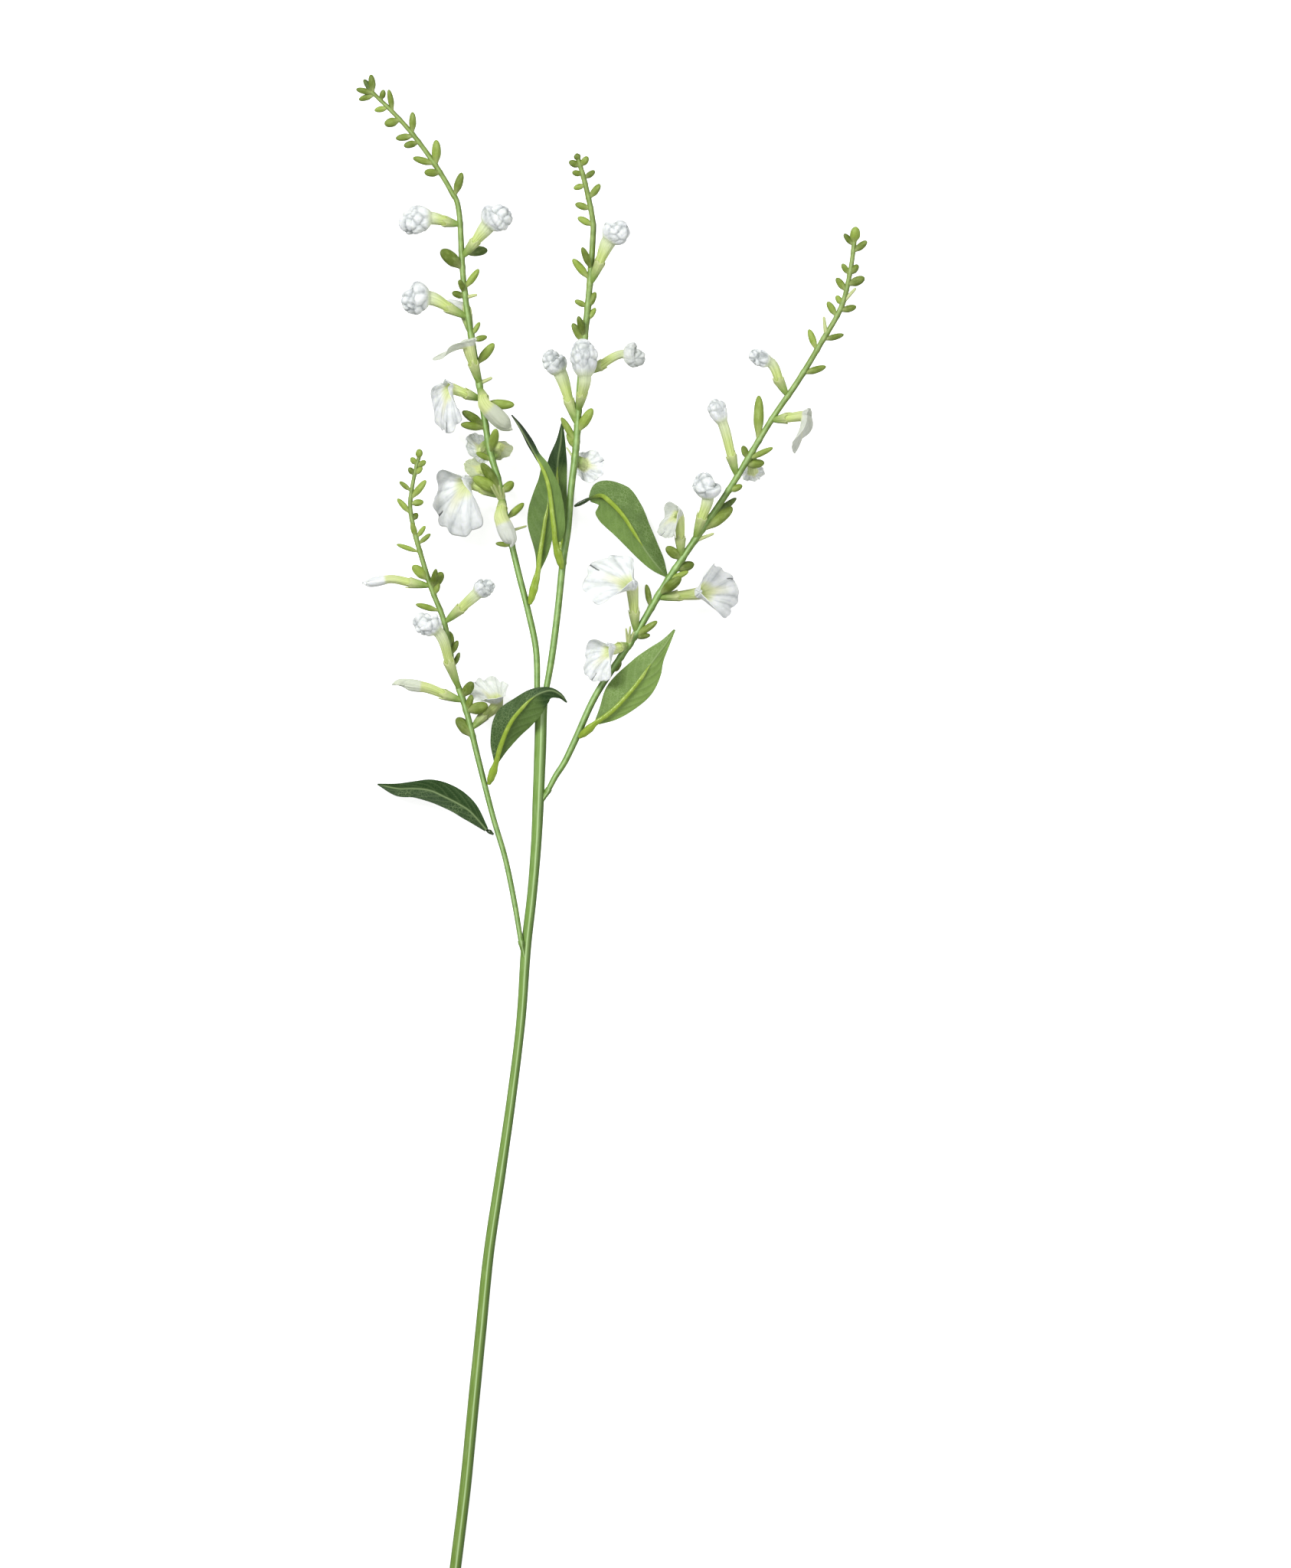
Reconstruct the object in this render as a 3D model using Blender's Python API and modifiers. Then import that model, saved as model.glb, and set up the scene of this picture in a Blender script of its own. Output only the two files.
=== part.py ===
"""Artificial lavender stem with white two-lipped flowers, lying on a table.

One main stem carries four flowering spikes and seven leaves. Each spike is a moulded stalk with its
buds and its calyx cups; the corollas sit in the cups, and each leaf is a thin blade held by a rib
that clasps a stalk. The stem lies along Y with its cut end at -Y, +Z is up, the table is z = 0, and
the origin is under the middle of the stem. Places and sizes below are in millimetres.
"""

import math

import bmesh
import bpy
import numpy as np
from mathutils import Matrix, Vector

MM = 0.001
GAP = 0.3
WELD = 0.001
SHARP_DEGREES = 50.0
CURVE_STEPS = 16

# Main stem
STEM_SIDES = 10
STEM_ROWS = 20
STEM = (
    # x, y, z, radius, from the cut end to the fork of the two tallest spikes
    (-80.5, -379.0, 2.76, 2.8),
    (-75.8, -342.0, 3.7, 2.8),
    (-71.2, -304.5, 4.6, 2.8),
    (-67.5, -267.0, 5.6, 2.8),
    (-63.6, -228.5, 6.7, 2.7),
    (-59.7, -191.0, 7.9, 2.6),
    (-54.0, -153.0, 9.0, 2.5),
    (-48.5, -115.0, 10.2, 2.3),
    (-44.0, -78.0, 11.3, 2.3),
    (-41.5, -43.0, 12.4, 2.5),
    (-38.5, -16.5, 13.2, 2.4),
    (-36.5, 8.0, 14.0, 2.6),
    (-35.5, 29.0, 14.6, 2.8),
    (-34.5, 55.0, 15.5, 2.9),
    (-34.0, 78.7, 16.2, 3.0),
)
BOSS_LENGTH = 9.0
BOSS_SINK = 0.6
BOSS_COLLAR = 2.0
BOSS_STEP = 0.3

# Stalks
STALK_SIDES = 8
STALK_ROWS_ADDED = 3
STALKS = {
    # x, y, z, radius, from the foot at the main stem to the tip
    "spike_left": (
        (-35.9, 79.2, 16.3, 1.4),
        (-36.4, 101.0, 17.0, 1.5),
        (-40.3, 120.5, 17.5, 1.5),
        (-45.0, 139.0, 18.0, 1.5),
        (-51.0, 165.0, 18.5, 1.5),
        (-54.5, 183.0, 19.0, 1.5),
        (-59.0, 199.5, 19.0, 1.5),
        (-64.0, 231.0, 19.0, 1.5),
        (-71.0, 275.5, 19.5, 1.4),
        (-73.5, 312.5, 20.5, 1.3),
        (-77.5, 323.0, 21.0, 1.2),
        (-85.5, 336.0, 22.0, 1.2),
        (-95.5, 349.5, 23.0, 1.1),
        (-105.5, 360.5, 24.0, 1.0),
        (-115.0, 369.5, 25.0, 0.9),
    ),
    "spike_middle": (
        (-32.2, 79.2, 16.3, 1.4),
        (-28.9, 97.5, 17.0, 1.6),
        (-25.9, 120.5, 17.5, 1.6),
        (-23.5, 143.5, 18.0, 1.6),
        (-21.0, 160.0, 18.5, 1.6),
        (-19.5, 178.5, 19.0, 1.6),
        (-17.0, 200.0, 19.5, 1.6),
        (-15.0, 230.5, 20.0, 1.6),
        (-11.0, 271.0, 21.0, 1.5),
        (-9.0, 298.0, 22.0, 1.4),
        (-9.0, 308.5, 22.5, 1.3),
        (-12.5, 325.5, 23.5, 1.2),
        (-16.5, 339.5, 24.5, 1.0),
    ),
    "spike_right": (
        (-30.2, 34.5, 15.0, 1.3),
        (-27.0, 40.5, 15.4, 1.4),
        (-22.5, 47.5, 15.8, 1.5),
        (-17.0, 59.0, 16.4, 1.6),
        (-7.0, 80.5, 17.2, 1.6),
        (10.5, 107.0, 18.0, 1.6),
        (23.5, 129.0, 18.5, 1.6),
        (34.5, 146.0, 19.0, 1.6),
        (56.0, 177.5, 19.0, 1.5),
        (77.0, 212.0, 19.5, 1.4),
        (90.0, 231.0, 20.0, 1.4),
        (101.5, 250.0, 21.0, 1.3),
        (111.0, 267.0, 22.0, 1.2),
        (115.5, 286.0, 23.5, 1.1),
        (117.5, 303.5, 25.0, 1.0),
    ),
    "spike_short": (
        (-43.9, -39.0, 15.3, 1.2),
        (-47.0, -20.5, 15.0, 1.3),
        (-51.5, 1.0, 15.2, 1.3),
        (-57.5, 21.5, 15.7, 1.3),
        (-64.5, 49.0, 16.5, 1.4),
        (-70.0, 71.5, 17.5, 1.4),
        (-76.0, 90.5, 18.5, 1.4),
        (-80.5, 114.0, 19.0, 1.3),
        (-86.5, 130.0, 19.0, 1.2),
        (-91.0, 144.0, 19.5, 1.2),
        (-95.5, 160.5, 20.0, 1.1),
        (-97.0, 172.5, 21.0, 1.0),
        (-94.5, 187.5, 22.5, 0.9),
        (-92.0, 196.0, 24.0, 0.8),
    ),
}

# Buds
BUD_SIDES = 5
BUD_RINGS = 3
PRONG_SIDES = 4
PRONG_WIDTH = 2.5
BUD_ROOT_GIRTH = 0.6
BUD_TIP_GIRTH = 1.35
BUDS = {
    # mm along the stalk, degrees round it (0 is its right side, 90 its upper side), degrees away
    # from its tip, length, width
    "spike_left": (
        (308, 10, 40, 9.0, 3.5),
        (308, -170, 30, 8.5, 3.0),
        (307, -155, 60, 8.5, 3.0),
        (303, 20, 65, 5.5, 3.0),
        (308, -50, 20, 8.5, 3.0),
        (295, 20, 35, 11.0, 3.0),
        (298, -165, 55, 7.0, 3.0),
        (290, 170, 65, 8.0, 4.5),
        (281, 10, 40, 10.5, 3.5),
        (280, -165, 60, 9.0, 3.5),
        (276, 160, 70, 8.0, 3.5),
        (262, 5, 35, 12.5, 4.5),
        (263, 175, 40, 11.0, 3.5),
        (258, 155, 60, 8.5, 4.0),
        (245, 10, 50, 12.0, 4.0),
        (210, 155, 50, 14.0, 6.5),
        (218, -40, 85, 16.0, 5.0),
        (200, 15, 45, 12.0, 3.5),
        (196, 165, 65, 7.0, 3.5),
        (198, 110, 40, 8.0, 3.0),
        (196, 0, 85, 6.0, 2.0),
        (177, 0, 40, 8.0, 2.5),
        (175, -10, 85, 7.5, 3.0),
        (163, 5, 50, 13.5, 4.5),
        (154, -10, 75, 7.0, 2.0),
        (133, 165, 50, 13.5, 4.5),
        (132, 160, 75, 13.0, 4.0),
        (144, -5, 100, 15.5, 5.0),
        (120, 65, 55, 17.0, 4.5),
        (116, 165, 50, 9.0, 3.0),
        (101, 140, 30, 17.0, 5.0),
        (100, 150, 55, 16.5, 6.0),
        (100, -25, 60, 8.5, 4.5),
        (87, -15, 60, 12.0, 3.5),
        (81, -15, 85, 9.5, 1.5),
        (74, 170, 70, 8.0, 2.5),
        (94, 120, 40, 12.5, 1.5),
        (94, 105, 45, 14.5, 1.5),
        (94, 90, 45, 13.5, 1.5),
        (94, 75, 40, 10.5, 1.5),
    ),
    "spike_middle": (
        (260, 110, 15, 3.5, 3.5),
        (257, -175, 50, 6.0, 3.5),
        (257, 10, 55, 6.0, 3.5),
        (253, 160, 65, 5.5, 3.0),
        (251, 0, 70, 6.5, 3.0),
        (248, 180, 95, 6.0, 3.0),
        (241, -5, 50, 9.0, 3.5),
        (236, 180, 60, 8.0, 3.5),
        (228, 180, 60, 8.5, 3.5),
        (202, 180, 45, 13.0, 4.0),
        (207, 115, 50, 14.0, 3.5),
        (188, -5, 20, 9.0, 3.5),
        (189, 180, 70, 7.0, 3.0),
        (182, -20, 30, 8.0, 3.0),
        (174, 120, 40, 12.0, 3.5),
        (171, 180, 35, 11.5, 4.0),
        (128, 15, 30, 14.0, 5.0),
        (123, -175, 35, 14.5, 3.5),
        (120, -160, 35, 9.0, 3.5),
        (115, 180, 40, 7.5, 1.2),
    ),
    "spike_right": (
        (303, 90, 15, 8.5, 5.0),
        (302, -175, 45, 7.5, 3.0),
        (299, -5, 45, 8.5, 3.5),
        (288, -175, 45, 6.5, 3.0),
        (288, -10, 30, 6.5, 3.5),
        (280, -175, 50, 8.0, 3.5),
        (283, 10, 55, 9.0, 4.5),
        (273, -175, 50, 5.5, 3.0),
        (267, 180, 60, 8.5, 3.5),
        (275, -10, 25, 9.0, 2.0),
        (270, -5, 50, 8.5, 3.5),
        (257, 165, 40, 9.0, 2.0),
        (254, -5, 45, 10.5, 3.0),
        (248, 180, 50, 11.0, 3.5),
        (235, -5, 40, 12.0, 3.5),
        (196, -175, 30, 22.5, 5.0),
        (186, 180, 50, 7.0, 3.5),
        (186, 10, 35, 13.5, 3.0),
        (183, -30, 55, 11.0, 4.5),
        (168, 0, 35, 7.5, 3.5),
        (145, -30, 20, 19.5, 6.5),
        (152, -50, 25, 17.5, 3.5),
        (139, -15, 35, 10.5, 2.0),
        (128, 160, 85, 10.0, 5.0),
        (122, -40, 45, 11.0, 5.0),
        (116, 15, 35, 11.0, 3.0),
        (108, 55, 35, 15.0, 5.0),
        (100, 180, 40, 12.0, 3.0),
        (84, 20, 25, 14.0, 3.5),
        (84, 0, 50, 8.0, 3.0),
        (72, -85, 125, 12.0, 4.5),
        (79, 135, 50, 10.5, 1.5),
        (79, 120, 45, 12.0, 1.5),
        (79, 105, 35, 9.0, 1.5),
    ),
    "spike_short": (
        (240, 130, 15, 5.0, 3.5),
        (237, -175, 55, 4.5, 3.0),
        (236, -10, 45, 5.5, 3.0),
        (232, 170, 50, 4.5, 3.0),
        (232, -10, 30, 5.5, 3.0),
        (224, -175, 60, 7.5, 2.5),
        (220, 0, 35, 12.0, 3.5),
        (213, -170, 35, 10.0, 3.0),
        (218, 0, 80, 6.5, 3.5),
        (210, -40, 55, 5.0, 3.0),
        (201, 95, 10, 8.0, 3.0),
        (201, 0, 50, 7.5, 2.5),
        (198, 0, 65, 8.0, 2.5),
        (194, 180, 55, 12.0, 2.5),
        (180, 175, 30, 10.5, 5.0),
        (176, -15, 55, 9.5, 5.0),
        (176, 45, 45, 11.0, 3.0),
        (172, 0, 40, 7.0, 3.0),
        (164, 165, 55, 12.5, 3.0),
        (144, -80, 30, 11.0, 4.5),
        (142, 0, 35, 8.0, 3.0),
        (136, -5, 35, 8.0, 2.5),
        (121, 15, 55, 9.5, 5.0),
        (114, 15, 35, 8.5, 3.5),
        (114, 10, 90, 11.0, 6.0),
        (101, -155, 30, 12.5, 6.0),
    ),
}

# Calyx cups and corollas
CUP_SIDES = 6
CUP_DEPTH = 2.6
CUP_OUTER = 3.0
CUP_FLARE = 0.85
CUP_INNER = 2.3
CUP_TOOTH = 1.0
CUP_SHARE = 0.5
CUP_LIMIT = 11.0
TUBE_CLEAR = 1.5
COROLLA_COLUMNS = (-180, -140, -98, -66, -44, -24, 0, 24, 44, 66, 98, 140)
COROLLA_WALL = 0.6
TUBE_ROOT = 1.5
LIP_RINGS = (0.35, 0.7, 1.0)
LIP_LENGTHS = (30.0, 115.0)
LIP_TURNS = (58.0, 115.0)
LOBE_NOTCH = 44.0
LOBE_NOTCH_WIDTH = 8.0
LOBE_NOTCH_DEPTH = 0.14
RUFFLE = 0.6
FLOWERS = {
    # name, mm along the stalk, throat, tip of the lower lip (each x, y, z), the way the flower faces
    # (degrees in plan from +X, degrees up), upper lip (length, degrees open), radius of the throat,
    # how far the lips are gathered towards the lower one, half the degrees that they bend outwards
    "spike_left": (
        ("01", 231, (-87.0, 309.5, 22.0), (-100.0, 303.5, 21.0), (180, 10), (14.5, 2), 3.0, 0.3, -50),
        ("02", 215, (-59.5, 305.5, 24.0), (-48.5, 307.5, 23.0), (50, 15), (12.0, 10), 3.6, 0.3, -50),
        ("03", 186, (-88.0, 271.0, 22.0), (-98.0, 264.0, 20.0), (178, 12), (12.5, 20), 3.3, 0.3, -45),
        ("04", 177, (-71.0, 267.0, 13.0), (-82.5, 271.0, 11.0), (165, -10), (6.0, 20), 2.4, 0.5, -20),
        ("05", 153, (-68.5, 246.5, 27.0), (-85.5, 241.5, 23.0), (100, 12), (4.0, 20), 2.8, 0.6, 20),
        ("06", 146, (-77.5, 227.5, 23.0), (-81.0, 207.5, 17.0), (170, 45), (3.5, 5), 2.6, 0.5, 25),
        ("07", 152, (-60.0, 218.0, 27.8), (-47.5, 205.5, 23.0), (317, -10), (17.0, -4), 3.2, 0.3, -20),
        ("08", 126, (-62.5, 198.0, 11.0), (-69.0, 205.5, 12.0), (215, -50), (3.5, 60), 2.4, 0.3, 15),
        ("09", 117, (-54.5, 200.0, 11.0), (-48.0, 200.0, 9.0), (330, -45), (4.0, 60), 2.4, 0.3, 15),
        ("10", 107, (-62.5, 189.0, 12.5), (-71.0, 192.5, 11.5), (250, -55), (3.5, 50), 2.4, 0.6, 15),
        ("11", 98, (-69.0, 182.5, 17.5), (-80.5, 161.0, 7.0), (160, 60), (7.0, -25), 2.8, 0.2, 25),
        ("12", 98, (-52.5, 163.0, 28.4), (-45.5, 150.0, 28.4), (295, 0), (13.0, -5), 3.4, 0.3, -22),
    ),
    "spike_middle": (
        ("01", 199, (-1.0, 298.0, 26.0), (8.5, 301.5, 25.0), (55, 15), (10.0, 12), 3.5, 0.3, -45),
        ("02", 131, (-25.0, 235.5, 20.5), (-32.0, 244.0, 19.5), (118, 15), (10.0, 8), 3.2, 0.3, -45),
        ("03", 138, (-12.5, 232.0, 30.5), (-14.0, 249.0, 38.0), (94, 6), (17.0, 9), 2.8, 0.15, -35),
        ("04", 156, (6.0, 244.0, 22.0), (14.5, 238.5, 21.0), (358, 10), (10.0, 22), 1.9, 0.3, -55),
        ("05", 116, (-14.0, 191.5, 13.0), (-4.0, 189.0, 15.5), (0, -70), (4.0, 70), 2.4, 0.15, 12),
    ),
    "spike_right": (
        ("01", 222, (76.0, 240.0, 23.0), (66.0, 245.0, 23.0), (160, 15), (9.0, 5), 2.4, 0.4, -35),
        ("02", 176, (53.5, 211.0, 23.0), (48.5, 222.5, 23.0), (113, 10), (13.0, 6), 2.4, 0.4, -30),
        ("03", 208, (92.0, 214.0, 23.0), (88.5, 197.0, 19.0), (0, 20), (4.0, 20), 2.4, 0.8, 20),
        ("04", 190, (68.5, 188.5, 8.0), (70.0, 184.0, 10.5), (285, -45), (4.0, 70), 2.2, 0.2, 15),
        ("05", 139, (46.5, 174.5, 25.0), (40.0, 184.5, 25.0), (88, 20), (10.0, 22), 2.8, 0.3, -45),
        ("06", 128, (32.5, 166.0, 23.0), (23.0, 158.0, 19.0), (110, 45), (5.0, -20), 2.4, 0.3, 20),
        ("07", 86, (10.0, 131.5, 24.0), (-12.0, 138.0, 20.0), (95, 56), (6.0, -25), 2.8, 0.22, 25),
        ("08", 106, (42.5, 129.0, 16.0), (61.0, 132.0, 0.4), (20, 70), (6.0, -25), 2.9, 0.45, 25),
        ("09", 80, (0.5, 101.5, 24.3), (-11.0, 88.5, 21.8), (150, 52), (6.0, -25), 2.5, 0.32, 25),
    ),
    "spike_short": (
        ("01", 177, (-108.0, 135.5, 20.0), (-121.0, 133.0, 19.0), (190, 0), (12.0, -4), 1.9, 0.3, -15),
        ("02", 158, (-64.5, 128.5, 23.0), (-57.0, 131.0, 22.0), (42, 15), (8.5, 8), 2.8, 0.3, -40),
        ("03", 124, (-83.5, 110.0, 28.5), (-95.5, 115.0, 27.0), (135, 12), (10.0, 12), 2.6, 0.4, -45),
        ("04", 119, (-91.0, 83.5, 20.0), (-106.5, 86.5, 19.0), (172, 0), (10.0, -4), 2.4, 0.3, -15),
        ("05", 105, (-55.5, 76.5, 12.0), (-67.5, 85.0, 10.5), (105, 40), (9.0, 30), 2.8, 0.5, 22),
    ),
}

# Leaves
BLADE_THICKNESS = 0.6
BLADE_STEPS = 11
BLADE_COLUMNS = (-1.0, -0.5, 0.0, 0.5, 1.0)
BLADE_WAVE = 0.5
BLADE_WAVES = 2.5
RIB_SIDES = 6
RIB_SHARE = 0.72
RIB_FOOT = 1.7
RIB_KNEE = 2.4
RIB_NECK = 1.4
RIB_END = 0.7
LEAVES = {
    # face is 1 where the ribbed side is up and -1 where it is down, fold is the slope of each half
    # in degrees, foot is where the rib meets the stalk, and each blade row holds x, y, z, its width
    # left and right of the midrib, and its roll in degrees
    "leaf_middle_low": {
        "face": 1,
        "fold": 32,
        "foot": (-24.0, 141.0, 21.8),
        "blade": (
            (-26.5, 153.0, 26.0, 1.6, 2.5, 25),
            (-27.0, 159.0, 28.0, 2.4, 5.0, 25),
            (-28.0, 167.0, 28.5, 2.4, 5.5, 25),
            (-29.5, 178.5, 28.5, 2.2, 4.8, 25),
            (-32.5, 188.0, 28.0, 2.0, 3.4, 30),
            (-36.5, 195.0, 27.5, 2.0, 2.0, 35),
            (-41.0, 203.0, 27.5, 2.2, 2.2, 35),
            (-44.5, 209.0, 27.5, 1.4, 1.4, 35),
            (-48.0, 214.0, 27.5, 0.4, 0.4, 35),
        ),
    },
    "leaf_left": {
        "face": 1,
        "fold": 22,
        "foot": (-39.3, 124.0, 19.8),
        "blade": (
            (-35.5, 139.0, 20.0, 0.8, 1.0, 0),
            (-34.5, 147.5, 20.0, 2.5, 4.0, 0),
            (-33.0, 156.5, 19.5, 7.0, 5.0, 0),
            (-32.0, 164.0, 19.0, 9.5, 5.0, 0),
            (-30.5, 173.0, 18.5, 9.5, 5.0, 0),
            (-31.0, 182.5, 18.0, 6.0, 4.0, 0),
            (-33.5, 190.0, 17.5, 0.6, 0.6, 0),
        ),
    },
    "leaf_middle_back": {
        "face": 1,
        "fold": 15,
        "foot": (-23.6, 141.0, 14.5),
        "blade": (
            (-24.0, 148.0, 12.5, 1.0, 1.0, 0),
            (-25.0, 158.0, 11.0, 5.0, 3.5, 0),
            (-26.0, 172.0, 10.0, 7.0, 4.5, 0),
            (-26.5, 184.0, 10.0, 6.5, 5.0, 0),
            (-26.0, 193.5, 10.5, 5.0, 4.5, 0),
            (-24.5, 203.0, 11.5, 2.5, 2.2, 0),
            (-24.0, 211.5, 12.5, 0.5, 0.5, 0),
        ),
    },
    "leaf_middle_right": {
        "face": 1,
        "fold": 15,
        "foot": (-17.6, 171.0, 18.3),
        "blade": (
            (-10.5, 174.5, 17.5, 1.5, 1.5, 0),
            (-5.0, 176.0, 17.0, 8.0, 7.0, 0),
            (0.5, 172.0, 16.5, 11.8, 10.3, 0),
            (6.0, 166.0, 15.8, 10.8, 10.2, 0),
            (11.5, 157.5, 14.8, 8.8, 7.8, 0),
            (17.0, 149.0, 13.8, 7.0, 5.5, 0),
            (22.0, 142.5, 13.0, 4.8, 3.5, 0),
            (27.0, 137.0, 12.5, 0.5, 0.5, 0),
        ),
    },
    "leaf_right": {
        "face": 1,
        "fold": 18,
        "foot": (-15.2, 59.5, 19.0),
        "blade": (
            (-7.0, 66.5, 21.5, 1.6, 1.6, 0),
            (0.0, 71.5, 23.0, 8.0, 5.0, 0),
            (6.0, 77.5, 24.0, 11.0, 7.5, 0),
            (12.5, 85.0, 24.5, 10.8, 9.0, 0),
            (18.0, 93.0, 24.5, 8.3, 7.5, 0),
            (22.0, 98.5, 24.0, 5.8, 4.3, 0),
            (26.5, 104.5, 23.5, 2.8, 2.0, 0),
            (30.5, 111.0, 23.0, 0.5, 0.5, 0),
        ),
    },
    "leaf_short_upper": {
        "face": 1,
        "fold": 20,
        "foot": (-59.2, 37.0, 17.5),
        "blade": (
            (-55.5, 47.5, 20.0, 1.6, 1.4, 0),
            (-53.0, 56.0, 22.5, 6.3, 5.0, 0),
            (-48.5, 66.0, 25.0, 9.0, 8.8, 0),
            (-42.5, 73.5, 26.5, 6.5, 9.5, 0),
            (-36.5, 79.0, 27.5, 4.2, 8.3, 0),
            (-29.5, 81.5, 27.0, 1.8, 5.0, 0),
            (-24.5, 79.5, 25.0, 1.0, 2.2, 0),
            (-21.5, 76.0, 22.0, 0.4, 0.4, 0),
        ),
    },
    "leaf_short_lower": {
        "face": -1,
        "fold": 22,
        "foot": (-57.4, 12.4, 15.3),
        "blade": (
            (-60.5, 14.5, 15.5, 1.2, 1.2, 0),
            (-68.0, 23.0, 15.5, 5.0, 4.8, 0),
            (-74.0, 27.0, 14.5, 5.2, 6.8, 0),
            (-81.0, 30.5, 13.0, 5.4, 7.2, 0),
            (-88.0, 33.5, 11.0, 5.8, 5.8, 0),
            (-95.5, 34.5, 9.0, 4.8, 3.8, 0),
            (-104.0, 34.5, 6.5, 4.0, 2.6, 0),
            (-114.0, 36.5, 4.0, 0.4, 0.4, 0),
        ),
    },
}

# Materials: colour, roughness
MATERIALS = {
    "stem_plastic": ((0.24, 0.40, 0.13), 0.42),
    "spike_plastic": ((0.36, 0.52, 0.15), 0.5),
    "petal_fabric": ((0.86, 0.88, 0.86), 0.75),
    "leaf_fabric": ((0.10, 0.22, 0.07), 0.7),
    "rib_plastic": ((0.38, 0.55, 0.05), 0.35),
}


def unit(vectors):
    """The vectors, each at length 1, along the last axis."""
    vectors = np.asarray(vectors, float)
    return vectors / np.linalg.norm(vectors, axis=-1, keepdims=True)


def smooth_path(points, count):
    """`count` rows spaced evenly along the Catmull-Rom curve through hand-set rows of numbers."""
    rows = np.array(points, float)
    rows = np.vstack([2 * rows[0] - rows[1], rows, 2 * rows[-1] - rows[-2]])
    t = np.linspace(0, 1, CURVE_STEPS, endpoint=False)[:, None]
    pieces = []
    for a, b, c, d in zip(rows, rows[1:], rows[2:], rows[3:]):
        bend = (c - a) * t + (2 * a - 5 * b + 4 * c - d) * t**2 + (3 * b - a - 3 * c + d) * t**3
        pieces.append(b + bend / 2)
    dense = np.vstack([*pieces, rows[-2:-1]])
    along = distance_along(dense)
    wanted = np.linspace(0, along[-1], count)
    return np.stack([np.interp(wanted, along, column) for column in dense.T], axis=1)


def distance_along(path):
    """The distance from a path's first row to each row, by its x, y and z."""
    steps = np.linalg.norm(np.diff(path[:, :3], axis=0), axis=1)
    return np.concatenate([[0], np.cumsum(steps)])


def direction(azimuth, elevation):
    """The unit vector at these degrees in plan from +X and up from the table."""
    a, e = math.radians(azimuth), math.radians(elevation)
    return np.array([math.cos(a) * math.cos(e), math.sin(a) * math.cos(e), math.sin(e)])


def across(tangents):
    """Level vectors to the right of each tangent, and vectors square to both that point up."""
    right = unit(np.cross(tangents, [0.0, 0.0, 1.0]))
    return right, np.cross(right, tangents)


def step_down(values, start, end):
    """1 for values up to the start and 0 from the end on, eased in between."""
    ramp = np.clip((end - values) / (end - start), 0, 1)
    return ramp**2 * (3 - 2 * ramp)


def stalk_path(stalk):
    """The rows x, y, z, radius that a stalk is swept along."""
    return smooth_path(STALKS[stalk], len(STALKS[stalk]) + STALK_ROWS_ADDED)


def place_on(stalk, along):
    """The point, radius and tangent of a stalk at this distance from its foot."""
    path = stalk_path(stalk)
    reach = distance_along(path)
    point = np.array([np.interp(along, reach, column) for column in path.T])
    index = min(np.searchsorted(reach, along, side="right"), len(path) - 1)
    return point[:3], point[3], unit(path[index, :3] - path[index - 1, :3])


def new_object(name, mesh, collection, material=None):
    """An object that shows this mesh, its round sides shaded smooth."""
    mesh.name = name
    mesh.shade_smooth()
    mesh.set_sharp_from_angle(angle=math.radians(SHARP_DEGREES))
    obj = bpy.data.objects.new(name, mesh)
    collection.objects.link(obj)
    if material:
        mesh.materials.clear()
        mesh.materials.append(material)
    return obj


def mesh_of(obj):
    """A new mesh of what the object's curve or modifiers make, and the object removed."""
    bpy.context.view_layer.update()
    graph = bpy.context.evaluated_depsgraph_get()
    mesh = bpy.data.meshes.new_from_object(obj.evaluated_get(graph), depsgraph=graph)
    mesh.transform(obj.matrix_world)
    bpy.data.objects.remove(obj)
    return mesh


def weld(mesh):
    """Joins a curve's loose caps to its sides."""
    work = bmesh.new()
    work.from_mesh(mesh)
    bmesh.ops.remove_doubles(work, verts=work.verts, dist=WELD * MM)
    bmesh.ops.recalc_face_normals(work, faces=work.faces)
    work.to_mesh(mesh)
    work.free()


def tube(name, path, sides, collection):
    """A round bar along the rows x, y, z, radius of a path."""
    curve = bpy.data.curves.new(name, "CURVE")
    curve.dimensions = "3D"
    curve.bevel_depth = MM
    curve.bevel_resolution = (sides - 4) // 2
    curve.use_fill_caps = True
    spline = curve.splines.new("POLY")
    spline.points.add(len(path) - 1)
    for point, (x, y, z, radius) in zip(spline.points, path):
        point.co = (x * MM, y * MM, z * MM, 1)
        point.radius = radius
    obj = bpy.data.objects.new(name, curve)
    collection.objects.link(obj)
    mesh = mesh_of(obj)
    weld(mesh)
    return new_object(name, mesh, collection)


def stand_on(work, origin, axis):
    """Moves a mesh that was built up +Z so that it stands at the origin point along this axis."""
    turn = Vector((0, 0, 1)).rotation_difference(Vector(axis)).to_matrix().to_4x4()
    bmesh.ops.transform(work, matrix=Matrix.Translation(Vector(origin) * MM) @ turn, verts=work.verts)


def finish(work, name, collection):
    """An object made of a finished bmesh."""
    bmesh.ops.recalc_face_normals(work, faces=work.faces)
    mesh = bpy.data.meshes.new(name)
    work.to_mesh(mesh)
    work.free()
    return new_object(name, mesh, collection)


def bud(name, origin, axis, length, width, collection):
    """A closed bud: a sphere drawn out from its root, where it is slim, to its blunt tip."""
    work = bmesh.new()
    sides = PRONG_SIDES if width <= PRONG_WIDTH else BUD_SIDES
    bmesh.ops.create_uvsphere(work, u_segments=sides, v_segments=BUD_RINGS, radius=1)
    for vert in work.verts:
        share = (vert.co.z + 1) / 2
        girth = width / 2 * (BUD_ROOT_GIRTH + (BUD_TIP_GIRTH - BUD_ROOT_GIRTH) * share)
        vert.co = Vector((vert.co.x * girth, vert.co.y * girth, share * length)) * MM
    stand_on(work, origin, axis)
    return finish(work, name, collection)


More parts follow.
